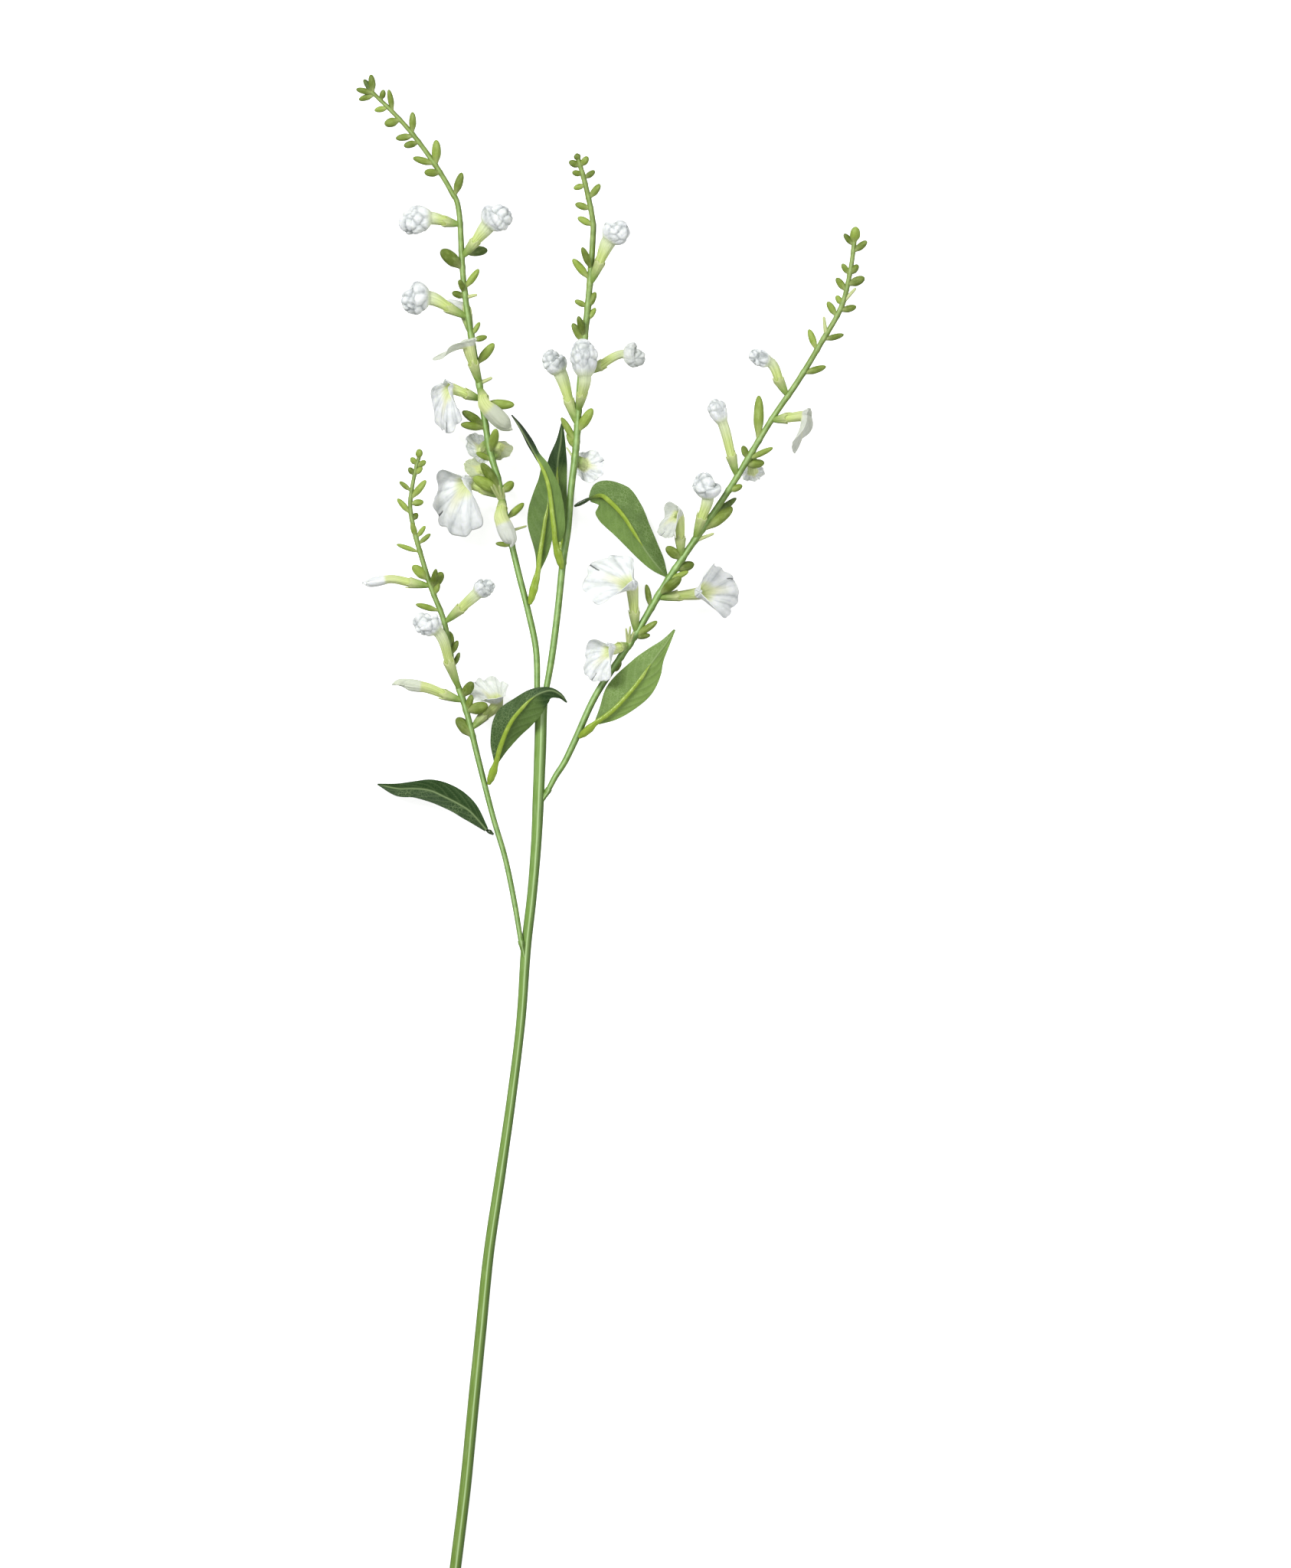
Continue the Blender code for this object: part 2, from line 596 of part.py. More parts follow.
def calyx(name, origin, axis, length, collection):
    """A calyx: a turned cup with a stalk of its own and a toothed mouth."""
    profile = (
        (0.0, 0.0),
        (CUP_OUTER * CUP_FLARE, length - CUP_DEPTH),
        (CUP_OUTER, length),
        (CUP_INNER, length),
        (CUP_INNER, length - CUP_DEPTH),
        (0.0, length - CUP_DEPTH),
    )
    work = bmesh.new()
    verts = [work.verts.new((radius * MM, 0, height * MM)) for radius, height in profile]
    edges = [work.edges.new(pair) for pair in zip(verts, verts[1:])]
    bmesh.ops.spin(
        work,
        geom=verts + edges,
        cent=(0, 0, 0),
        axis=(0, 0, 1),
        angle=math.tau,
        steps=CUP_SIDES,
        use_merge=True,
    )
    bmesh.ops.remove_doubles(work, verts=work.verts, dist=WELD * MM)
    for vert in work.verts:
        turn = round(math.atan2(vert.co.y, vert.co.x) / math.tau * CUP_SIDES)
        if abs(vert.co.z - length * MM) < WELD * MM and turn % 2 == 0:
            vert.co.z += CUP_TOOTH * MM
    stand_on(work, origin, axis)
    return finish(work, name, collection)


def calyx_line(stalk, flower):
    """Where a flower's calyx leaves the stalk, its axis and its length.

    The floor of the cup stands clear of the stalk, whose side slopes away from the calyx's axis.
    """
    _, along, throat, *_ = flower
    origin, radius, tangent = place_on(stalk, along)
    reach = np.array(throat) - origin
    span = float(np.linalg.norm(reach))
    axis = reach / span
    cosine = abs(float(axis @ tangent))
    clear = (radius + CUP_INNER * cosine) / math.sqrt(1 - cosine**2) + GAP
    length = max(min(span * CUP_SHARE, CUP_LIMIT), clear + CUP_DEPTH)
    return origin, axis, min(length, span - TUBE_CLEAR)


def corolla_points(stalk, flower):
    """Points of a corolla, a row for each ring from its root to its rim.

    The tube runs from the floor of the cup to the throat, a ring square to the way the flower faces.
    Each column leaves the throat at its own angle round it, and its lip bends evenly from the curl
    less to the curl more than its mean angle to that way, so a curl below nothing makes a ball. The
    lower lip's tip is given; its length goes over to the upper lip's between the angles of
    LIP_LENGTHS, and its mean angle between those of LIP_TURNS. Columns are gathered towards the
    lower lip, lengths are cut in between the lower lip's lobes, and the rim waves.
    """
    _, _, throat, tip, faces, (upper, hood), radius, gather, bend = flower
    origin, axis, length = calyx_line(stalk, flower)
    throat = np.array(throat)
    face = direction(*faces)
    reach = np.array(tip) - throat
    lip = unit(reach - face * (face @ reach))
    chord = reach - radius * lip
    open_angle = math.atan2(chord @ lip, chord @ face)
    curl = math.radians(bend)
    lower = float(np.linalg.norm(chord)) * curl / math.sin(curl)
    start = origin + axis * (length - CUP_DEPTH + GAP)

    angle = np.radians(COROLLA_COLUMNS)
    normal = lip
    rings = []
    for centre, tangent, wide in ((throat, face, radius), (start, axis, TUBE_ROOT)):
        normal = unit(normal - tangent * (normal @ tangent))
        side = np.cross(tangent, normal)
        rings.insert(0, centre + wide * (np.outer(np.cos(angle), normal) + np.outer(np.sin(angle), side)))

    spread = angle - gather * np.sin(angle)
    outward = np.outer(np.cos(spread), lip) + np.outer(np.sin(spread), np.cross(face, lip))
    degrees = np.degrees(np.abs(angle))
    mean = math.radians(hood) + (open_angle - math.radians(hood)) * step_down(degrees, *LIP_TURNS)
    length = upper + (lower - upper) * step_down(degrees, *LIP_LENGTHS)
    length = length * (1 - LOBE_NOTCH_DEPTH * np.exp(-(((degrees - LOBE_NOTCH) / LOBE_NOTCH_WIDTH) ** 2)))
    curls = np.minimum(curl, mean)
    first = mean - curls
    for grown in LIP_RINGS:
        slope = first + 2 * curls * grown
        out = length * (np.cos(first) - np.cos(slope)) / (2 * curls)
        ahead = length * (np.sin(slope) - np.sin(first)) / (2 * curls)
        wave = (RUFFLE * grown**2 * np.cos(np.pi * np.arange(len(angle))))[:, None]
        square = np.cos(slope)[:, None] * outward - np.sin(slope)[:, None] * face
        rings.append(rings[1] + out[:, None] * outward + ahead[:, None] * face + wave * square)
    return np.array(rings)


def grid_faces(rows, columns, closed):
    """Triangles of a grid of points, the last column joined to the first if it is closed."""
    faces = []
    for row in range(rows - 1):
        for column in range(columns if closed else columns - 1):
            beside = (column + 1) % columns
            a = row * columns + column
            b = row * columns + beside
            faces += [(a, b, b + columns), (a, b + columns, a + columns)]
    return faces


def shell(name, points, closed, thickness, offset, collection, material):
    """A thin wall on a grid of points, split into like triangles on both faces."""
    rows, columns = points.shape[:2]
    mesh = bpy.data.meshes.new(name)
    mesh.from_pydata((points.reshape(-1, 3) * MM).tolist(), [], grid_faces(rows, columns, closed))
    obj = new_object(name, mesh, collection, material)
    wall = obj.modifiers.new("wall", "SOLIDIFY")
    wall.thickness = thickness * MM
    wall.offset = offset
    wall.use_even_offset = False
    return obj


def union(obj, collection, material):
    """Joins everything in a collection to the object, then empties and removes the collection."""
    join = obj.modifiers.new("join", "BOOLEAN")
    join.operation = "UNION"
    join.operand_type = "COLLECTION"
    join.collection = collection
    join.solver = "MANIFOLD"
    name = obj.name
    home = obj.users_collection[0]
    mesh = mesh_of(obj)
    for part in list(collection.objects):
        bpy.data.objects.remove(part)
    bpy.data.collections.remove(collection)
    return new_object(name, mesh, home, material)


def helper_collection(name):
    """A collection for the pieces of one union."""
    collection = bpy.data.collections.new(name)
    bpy.context.scene.collection.children.link(collection)
    return collection


def main_stem(collection, material):
    """The main stem with a boss for each side stalk, for the stalk's foot to stand on.

    A boss starts inside the stem, BOSS_SINK of the way from the stalk's line to the stem's middle.
    """
    path = smooth_path(STEM, STEM_ROWS)
    stem = tube("main_stem", path, STEM_SIDES, collection)
    bosses = helper_collection("bosses")
    for stalk in ("spike_right", "spike_short"):
        foot, radius, tangent = place_on(stalk, 0)
        top = foot - tangent * GAP
        low = top - tangent * BOSS_LENGTH
        centre = [np.interp(low[1], path[:, 1], column) for column in path.T[:3]]
        low += (centre - low) * BOSS_SINK
        wide = radius + BOSS_STEP
        boss = ((*low, radius), (*(top - tangent * BOSS_COLLAR), wide), (*top, wide))
        tube("boss", boss, STALK_SIDES, bosses)
    return union(stem, bosses, material)


def spike(stalk, collection, material):
    """A stalk with its buds and calyx cups, joined in one solid."""
    bar = tube(stalk, stalk_path(stalk), STALK_SIDES, collection)
    parts = helper_collection(stalk + "_parts")
    for along, side, lean, length, width in BUDS[stalk]:
        origin, _, tangent = place_on(stalk, along)
        right, up = across(tangent)
        turn, tilt = math.radians(side), math.radians(lean)
        away = math.cos(turn) * right + math.sin(turn) * up
        axis = math.cos(tilt) * tangent + math.sin(tilt) * away
        bud("bud", origin, axis, length, width, parts)
    for flower in FLOWERS[stalk]:
        calyx("calyx", *calyx_line(stalk, flower), parts)
    return union(bar, parts, material)


def corollas(stalk, collection, material):
    """The white corollas of one spike, each a thin shell open at its root and its mouth."""
    for flower in FLOWERS[stalk]:
        name = stalk.replace("spike", "corolla") + "_" + flower[0]
        shell(name, corolla_points(stalk, flower), True, COROLLA_WALL, -1, collection, material)


def blade_surface(leaf, steps, columns):
    """Midrib points, tangents, and the points of a blade as a row across it at each step.

    Each half slopes from the midrib by the fold angle, away from the ribbed side, and the edges
    wave across the blade.
    """
    path = smooth_path(leaf["blade"], steps)
    midrib = path[:, :3]
    tangents = unit(np.gradient(midrib, axis=0))
    right, up = across(tangents)
    roll = np.radians(path[:, 5:6])
    right, up = np.cos(roll) * right + np.sin(roll) * up, np.cos(roll) * up - np.sin(roll) * right
    slope = math.radians(leaf["fold"])
    share = np.linspace(0, 1, steps)
    wave = BLADE_WAVE * np.sin(math.tau * BLADE_WAVES * share) * np.sin(math.pi * share)
    points = []
    for column in columns:
        width = (path[:, 4] if column > 0 else path[:, 3])[:, None] * abs(column)
        lift = -leaf["face"] * width * math.sin(slope) + (wave * column * abs(column))[:, None]
        points.append(midrib + right * width * math.cos(slope) * np.sign(column) + up * lift)
    return midrib, up, np.stack(points, axis=1)


def leaf_pieces(name, leaf, collection, blade_material, rib_material):
    """A leaf's blade and the rib that carries it from the stalk along its midrib."""
    midrib, up, points = blade_surface(leaf, BLADE_STEPS, BLADE_COLUMNS)
    shell(name + "_blade", points, False, BLADE_THICKNESS, 0, collection, blade_material)
    kept = max(4, round(BLADE_STEPS * RIB_SHARE))
    radii = np.linspace(RIB_NECK, RIB_END, kept)
    clear = (BLADE_THICKNESS / 2 + GAP + radii)[:, None]
    along = midrib[:kept] + leaf["face"] * up[:kept] * clear
    foot = np.array(leaf["foot"])
    knee = (foot + along[0]) / 2
    rows = np.vstack([[*foot, RIB_FOOT], [*knee, RIB_KNEE], np.column_stack([along, radii])])
    rib = tube(name + "_rib", smooth_path(rows, len(rows) + 1), RIB_SIDES, collection)
    rib.data.materials.append(rib_material)


def make_material(name, colour, roughness):
    """A Principled material of this colour."""
    material = bpy.data.materials.new(name)
    material.use_nodes = True
    shader = material.node_tree.nodes["Principled BSDF"]
    shader.inputs["Base Color"].default_value = (*colour, 1)
    shader.inputs["Roughness"].default_value = roughness
    shader.inputs["Metallic"].default_value = 0
    return material


def main():
    for obj in list(bpy.data.objects):
        bpy.data.objects.remove(obj)
    collection = bpy.data.collections.new("lavender_stem")
    bpy.context.scene.collection.children.link(collection)
    look = {name: make_material(name, *values) for name, values in MATERIALS.items()}
    main_stem(collection, look["stem_plastic"])
    for stalk in STALKS:
        spike(stalk, collection, look["spike_plastic"])
        corollas(stalk, collection, look["petal_fabric"])
    for name, leaf in LEAVES.items():
        leaf_pieces(name, leaf, collection, look["leaf_fabric"], look["rib_plastic"])


main()
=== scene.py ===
"""Looks for the artificial lavender stem that lies on a table.

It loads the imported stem, lays a finer piece over each of its nodes and gives every piece its
finish: moulded stalks with buds and calyxes, thin white two-lipped corollas, pressed leaves and
their ribs. Places and sizes in the tables are in millimetres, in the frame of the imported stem.
"""

import math

import bmesh
import bpy
import mathutils
import numpy as np
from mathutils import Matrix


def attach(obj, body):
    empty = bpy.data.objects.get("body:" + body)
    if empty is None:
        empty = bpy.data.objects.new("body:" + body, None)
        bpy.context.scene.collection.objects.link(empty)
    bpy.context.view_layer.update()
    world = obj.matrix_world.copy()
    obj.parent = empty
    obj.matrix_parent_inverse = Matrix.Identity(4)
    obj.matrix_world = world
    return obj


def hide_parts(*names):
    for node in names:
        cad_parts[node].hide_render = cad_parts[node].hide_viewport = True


bl_info = {
    "name": "Lavender stem",
    "version": (1, 0, 0),
    "blender": (4, 5, 0),
    "location": "View3D > Sidebar > Lavender stem",
    "description": "Gives the packed lavender stem its stalks, buds, corollas, leaves and finishes",
    "category": "Object",
}

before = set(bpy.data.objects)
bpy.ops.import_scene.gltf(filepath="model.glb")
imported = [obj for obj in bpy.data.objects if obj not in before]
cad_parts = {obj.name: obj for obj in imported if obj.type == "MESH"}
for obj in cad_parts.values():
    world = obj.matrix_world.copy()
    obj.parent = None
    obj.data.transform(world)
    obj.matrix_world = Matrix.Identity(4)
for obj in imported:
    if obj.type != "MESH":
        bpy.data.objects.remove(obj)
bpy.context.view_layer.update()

MM = 0.001
BODY = "root"
WELD = 1e-7

# The photograph: its size in pixels, millimetres to a pixel, and the pixel over the origin
PHOTO_SIZE = (1686, 2048)
PHOTO_SCALE = 0.37
PHOTO_ORIGIN = (798.5, 1123.0)
FOCUS_HEIGHT = 18.0
SENSOR = 36.0

# Smallest length that a vector is divided by, and steps between two rows of a given path
TINY = 1e-12
SPAN_STEPS = 24
# Millimetres between a stalk's rings, and rings that close each end of a bar
STALK_STEP = 1.5
END_RINGS = 5
# Crumpled corollas: where their lips are widest, how far from the middle of a furrow it ends, and
# the depth of the finer furrows; degrees from a lower lip's middle to where it has ended
WIDEST = 0.62
LOBE_REACH = 0.42
FINER_DEPTH = 0.25
LOWER_ENDS = 115
# Rings and points round a calyx and the tuft of a ball; rows of a leaf's rib, how many of them it
# follows, its first and last radius there and the points round it; rings and points round a boss
CALYX_RINGS, CALYX_SIDES = 12, 40
TUFT_RINGS, TUFT_SIDES = 34, 60
RIB_ROWS, RIB_KEPT, RIB_RADII, RIB_SIDES = 11, 8, (1.3, 0.75), 20
BOSS_RINGS, BOSS_SIDES = 40, 24
# Side veins of half a blade, and how far they lean forward
VEIN_COUNT = 9
VEIN_LEAN = 0.13
# Gathers of the petals: how many waves go round the throat, and how deep they are beside the others
GATHERS = ((5, 0.4), (8, 0.4), (13, 0.22))
# Millimetres along the main stem to one radian of each wave of its uneven radius
STEM_WAVES = (4.1, 7.7, 17.0, 31.0)
# First seeds of the random draws, and the furthest random start of a finish on plastic and cloth
SEEDS = {"stem": 11, "spikes": 100, "corollas": 1000, "leaves": 50}
PLASTIC_SHIFT = 60
CLOTH_SHIFT = 90
# Stage, in metres: the floor, how far the camera sees, and each area light's size and place
FLOOR_REACH = 15
FLOOR_HEIGHT = -0.0002
VIEW_END = 30
LIGHTS = {"key": (0.7, (-0.9, 1.0, 1.5)), "fill": (1.0, (1.3, 0.2, 1.2))}
LIGHT_AIM = (0, 0.1, 0)

# Main stem: x, y, z, radius from the cut end to the fork
STEM = (
    (-80.5, -379, 2.76, 2.8), (-75.8, -342, 3.7, 2.8), (-71.2, -304.5, 4.6, 2.8),
    (-67.5, -267, 5.6, 2.8), (-63.6, -228.5, 6.7, 2.7), (-59.7, -191, 7.9, 2.6),
    (-54, -153, 9, 2.5), (-48.5, -115, 10.2, 2.3), (-44, -78, 11.3, 2.3), (-41.5, -43, 12.4, 2.5),
    (-38.5, -16.5, 13.2, 2.4), (-36.5, 8, 14, 2.6), (-35.5, 29, 14.6, 2.8), (-34.5, 55, 15.5, 2.9),
    (-34, 78.7, 16.2, 3),
)
# Stalks: x, y, z, radius from the foot to the tip
STALKS = {
    "spike_left": (
        (-35.9, 79.2, 16.3, 1.4), (-36.4, 101, 17, 1.5), (-40.3, 120.5, 17.5, 1.5),
        (-45, 139, 18, 1.5), (-51, 165, 18.5, 1.5), (-54.5, 183, 19, 1.5), (-59, 199.5, 19, 1.5),
        (-64, 231, 19, 1.5), (-71, 275.5, 19.5, 1.4), (-73.5, 312.5, 20.5, 1.3),
        (-77.5, 323, 21, 1.2), (-85.5, 336, 22, 1.2), (-95.5, 349.5, 23, 1.1),
        (-105.5, 360.5, 24, 1), (-115, 369.5, 25, 0.9),
    ),
    "spike_middle": (
        (-32.2, 79.2, 16.3, 1.4), (-28.9, 97.5, 17, 1.6), (-25.9, 120.5, 17.5, 1.6),
        (-23.5, 143.5, 18, 1.6), (-21, 160, 18.5, 1.6), (-19.5, 178.5, 19, 1.6),
        (-17, 200, 19.5, 1.6), (-15, 230.5, 20, 1.6), (-11, 271, 21, 1.5), (-9, 298, 22, 1.4),
        (-9, 308.5, 22.5, 1.3), (-12.5, 325.5, 23.5, 1.2), (-16.5, 339.5, 24.5, 1),
    ),
    "spike_right": (
        (-30.2, 34.5, 15, 1.3), (-27, 40.5, 15.4, 1.4), (-22.5, 47.5, 15.8, 1.5),
        (-17, 59, 16.4, 1.6), (-7, 80.5, 17.2, 1.6), (10.5, 107, 18, 1.6), (23.5, 129, 18.5, 1.6),
        (34.5, 146, 19, 1.6), (56, 177.5, 19, 1.5), (77, 212, 19.5, 1.4), (90, 231, 20, 1.4),
        (101.5, 250, 21, 1.3), (111, 267, 22, 1.2), (115.5, 286, 23.5, 1.1), (117.5, 303.5, 25, 1),
    ),
    "spike_short": (
        (-43.9, -39, 15.3, 1.2), (-47, -20.5, 15, 1.3), (-51.5, 1, 15.2, 1.3),
        (-57.5, 21.5, 15.7, 1.3), (-64.5, 49, 16.5, 1.4), (-70, 71.5, 17.5, 1.4),
        (-76, 90.5, 18.5, 1.4), (-80.5, 114, 19, 1.3), (-86.5, 130, 19, 1.2), (-91, 144, 19.5, 1.2),
        (-95.5, 160.5, 20, 1.1), (-97, 172.5, 21, 1), (-94.5, 187.5, 22.5, 0.9),
        (-92, 196, 24, 0.8),
    ),
}
# Buds: distance along the stalk, degrees round it (0 is its right side, 90 its upper side),
# degrees away from its tip, length, width
BUDS = {
    "spike_left": (
        (308, 10, 40, 9, 3.5), (308, -170, 30, 8.5, 3), (307, -155, 60, 8.5, 3),
        (303, 20, 65, 5.5, 3), (308, -50, 20, 8.5, 3), (295, 20, 35, 11, 3), (298, -165, 55, 7, 3),
        (290, 170, 65, 8, 4.5), (281, 10, 40, 10.5, 3.5), (280, -165, 60, 9, 3.5),
        (276, 160, 70, 8, 3.5), (262, 5, 35, 12.5, 4.5), (263, 175, 40, 11, 3.5),
        (258, 155, 60, 8.5, 4), (245, 10, 50, 12, 4), (210, 155, 50, 14, 6.5),
        (218, -40, 85, 16, 5), (200, 15, 45, 12, 3.5), (196, 165, 65, 7, 3.5), (198, 110, 40, 8, 3),
        (196, 0, 85, 6, 2), (177, 0, 40, 8, 2.5), (175, -10, 85, 7.5, 3), (163, 5, 50, 13.5, 4.5),
        (154, -10, 75, 7, 2), (133, 165, 50, 13.5, 4.5), (132, 160, 75, 13, 4),
        (144, -5, 100, 15.5, 5), (120, 65, 55, 17, 4.5), (116, 165, 50, 9, 3),
        (101, 140, 30, 17, 5), (100, 150, 55, 16.5, 6), (100, -25, 60, 8.5, 4.5),
        (87, -15, 60, 12, 3.5), (81, -15, 85, 9.5, 1.5), (74, 170, 70, 8, 2.5),
        (94, 120, 40, 12.5, 1.5), (94, 105, 45, 14.5, 1.5), (94, 90, 45, 13.5, 1.5),
        (94, 75, 40, 10.5, 1.5),
    ),
    "spike_middle": (
        (260, 110, 15, 3.5, 3.5), (257, -175, 50, 6, 3.5), (257, 10, 55, 6, 3.5),
        (253, 160, 65, 5.5, 3), (251, 0, 70, 6.5, 3), (248, 180, 95, 6, 3), (241, -5, 50, 9, 3.5),
        (236, 180, 60, 8, 3.5), (228, 180, 60, 8.5, 3.5), (202, 180, 45, 13, 4),
        (207, 115, 50, 14, 3.5), (188, -5, 20, 9, 3.5), (189, 180, 70, 7, 3), (182, -20, 30, 8, 3),
        (174, 120, 40, 12, 3.5), (171, 180, 35, 11.5, 4), (128, 15, 30, 14, 5),
        (123, -175, 35, 14.5, 3.5), (120, -160, 35, 9, 3.5), (115, 180, 40, 7.5, 1.2),
    ),
    "spike_right": (
        (303, 90, 15, 8.5, 5), (302, -175, 45, 7.5, 3), (299, -5, 45, 8.5, 3.5),
        (288, -175, 45, 6.5, 3), (288, -10, 30, 6.5, 3.5), (280, -175, 50, 8, 3.5),
        (283, 10, 55, 9, 4.5), (273, -175, 50, 5.5, 3), (267, 180, 60, 8.5, 3.5),
        (275, -10, 25, 9, 2), (270, -5, 50, 8.5, 3.5), (257, 165, 40, 9, 2), (254, -5, 45, 10.5, 3),
        (248, 180, 50, 11, 3.5), (235, -5, 40, 12, 3.5), (196, -175, 30, 22.5, 5),
        (186, 180, 50, 7, 3.5), (186, 10, 35, 13.5, 3), (183, -30, 55, 11, 4.5),
        (168, 0, 35, 7.5, 3.5), (145, -30, 20, 19.5, 6.5), (152, -50, 25, 17.5, 3.5),
        (139, -15, 35, 10.5, 2), (128, 160, 85, 10, 5), (122, -40, 45, 11, 5), (116, 15, 35, 11, 3),
        (108, 55, 35, 15, 5), (100, 180, 40, 12, 3), (84, 20, 25, 14, 3.5), (84, 0, 50, 8, 3),
        (72, -85, 125, 12, 4.5), (79, 135, 50, 10.5, 1.5), (79, 120, 45, 12, 1.5),
        (79, 105, 35, 9, 1.5),
    ),
    "spike_short": (
        (240, 130, 15, 5, 3.5), (237, -175, 55, 4.5, 3), (236, -10, 45, 5.5, 3),
        (232, 170, 50, 4.5, 3), (232, -10, 30, 5.5, 3), (224, -175, 60, 7.5, 2.5),
        (220, 0, 35, 12, 3.5), (213, -170, 35, 10, 3), (218, 0, 80, 6.5, 3.5), (210, -40, 55, 5, 3),
        (201, 95, 10, 8, 3), (201, 0, 50, 7.5, 2.5), (198, 0, 65, 8, 2.5), (194, 180, 55, 12, 2.5),
        (180, 175, 30, 10.5, 5), (176, -15, 55, 9.5, 5), (176, 45, 45, 11, 3), (172, 0, 40, 7, 3),
        (164, 165, 55, 12.5, 3), (144, -80, 30, 11, 4.5), (142, 0, 35, 8, 3), (136, -5, 35, 8, 2.5),
        (121, 15, 55, 9.5, 5), (114, 15, 35, 8.5, 3.5), (114, 10, 90, 11, 6),
        (101, -155, 30, 12.5, 6),
    ),
}
# Corollas: name, distance along the stalk, throat, tip of the lower lip, the way the flower faces
# (degrees in plan, degrees up), upper lip (length, degrees open), radius of the throat, gather, and
# half the degrees that the lips bend outwards
FLOWERS = {
    "spike_left": (
        ("01", 231, (-87, 309.5, 22), (-100, 303.5, 21), (180, 10), (14.5, 2), 3, 0.3, -50),
        ("02", 215, (-59.5, 305.5, 24), (-48.5, 307.5, 23), (50, 15), (12, 10), 3.6, 0.3, -50),
        ("03", 186, (-88, 271, 22), (-98, 264, 20), (178, 12), (12.5, 20), 3.3, 0.3, -45),
        ("04", 177, (-71, 267, 13), (-82.5, 271, 11), (165, -10), (6, 20), 2.4, 0.5, -20),
        ("05", 153, (-68.5, 246.5, 27), (-85.5, 241.5, 23), (100, 12), (4, 20), 2.8, 0.6, 20),
        ("06", 146, (-77.5, 227.5, 23), (-81, 207.5, 17), (170, 45), (3.5, 5), 2.6, 0.5, 25),
        ("07", 152, (-60, 218, 27.8), (-47.5, 205.5, 23), (317, -10), (17, -4), 3.2, 0.3, -20),
        ("08", 126, (-62.5, 198, 11), (-69, 205.5, 12), (215, -50), (3.5, 60), 2.4, 0.3, 15),
        ("09", 117, (-54.5, 200, 11), (-48, 200, 9), (330, -45), (4, 60), 2.4, 0.3, 15),
        ("10", 107, (-62.5, 189, 12.5), (-71, 192.5, 11.5), (250, -55), (3.5, 50), 2.4, 0.6, 15),
        ("11", 98, (-69, 182.5, 17.5), (-80.5, 161, 7), (160, 60), (7, -25), 2.8, 0.2, 25),
        ("12", 98, (-52.5, 163, 28.4), (-45.5, 150, 28.4), (295, 0), (13, -5), 3.4, 0.3, -22),
    ),
    "spike_middle": (
        ("01", 199, (-1, 298, 26), (8.5, 301.5, 25), (55, 15), (10, 12), 3.5, 0.3, -45),
        ("02", 131, (-25, 235.5, 20.5), (-32, 244, 19.5), (118, 15), (10, 8), 3.2, 0.3, -45),
        ("03", 138, (-12.5, 232, 30.5), (-14, 249, 38), (94, 6), (17, 9), 2.8, 0.15, -35),
        ("04", 156, (6, 244, 22), (14.5, 238.5, 21), (358, 10), (10, 22), 1.9, 0.3, -55),
        ("05", 116, (-14, 191.5, 13), (-4, 189, 15.5), (0, -70), (4, 70), 2.4, 0.15, 12),
    ),
    "spike_right": (
        ("01", 222, (76, 240, 23), (66, 245, 23), (160, 15), (9, 5), 2.4, 0.4, -35),
        ("02", 176, (53.5, 211, 23), (48.5, 222.5, 23), (113, 10), (13, 6), 2.4, 0.4, -30),
        ("03", 208, (92, 214, 23), (88.5, 197, 19), (0, 20), (4, 20), 2.4, 0.8, 20),
        ("04", 190, (68.5, 188.5, 8), (70, 184, 10.5), (285, -45), (4, 70), 2.2, 0.2, 15),
        ("05", 139, (46.5, 174.5, 25), (40, 184.5, 25), (88, 20), (10, 22), 2.8, 0.3, -45),
        ("06", 128, (32.5, 166, 23), (23, 158, 19), (110, 45), (5, -20), 2.4, 0.3, 20),
        ("07", 86, (10, 131.5, 24), (-12, 138, 20), (95, 56), (6, -25), 2.8, 0.22, 25),
        ("08", 106, (42.5, 129, 16), (61, 132, 0.4), (20, 70), (6, -25), 2.9, 0.45, 25),
        ("09", 80, (0.5, 101.5, 24.3), (-11, 88.5, 21.8), (150, 52), (6, -25), 2.5, 0.32, 25),
    ),
    "spike_short": (
        ("01", 177, (-108, 135.5, 20), (-121, 133, 19), (190, 0), (12, -4), 1.9, 0.3, -15),
        ("02", 158, (-64.5, 128.5, 23), (-57, 131, 22), (42, 15), (8.5, 8), 2.8, 0.3, -40),
        ("03", 124, (-83.5, 110, 28.5), (-95.5, 115, 27), (135, 12), (10, 12), 2.6, 0.4, -45),
        ("04", 119, (-91, 83.5, 20), (-106.5, 86.5, 19), (172, 0), (10, -4), 2.4, 0.3, -15),
        ("05", 105, (-55.5, 76.5, 12), (-67.5, 85, 10.5), (105, 40), (9, 30), 2.8, 0.5, 22),
    ),
}
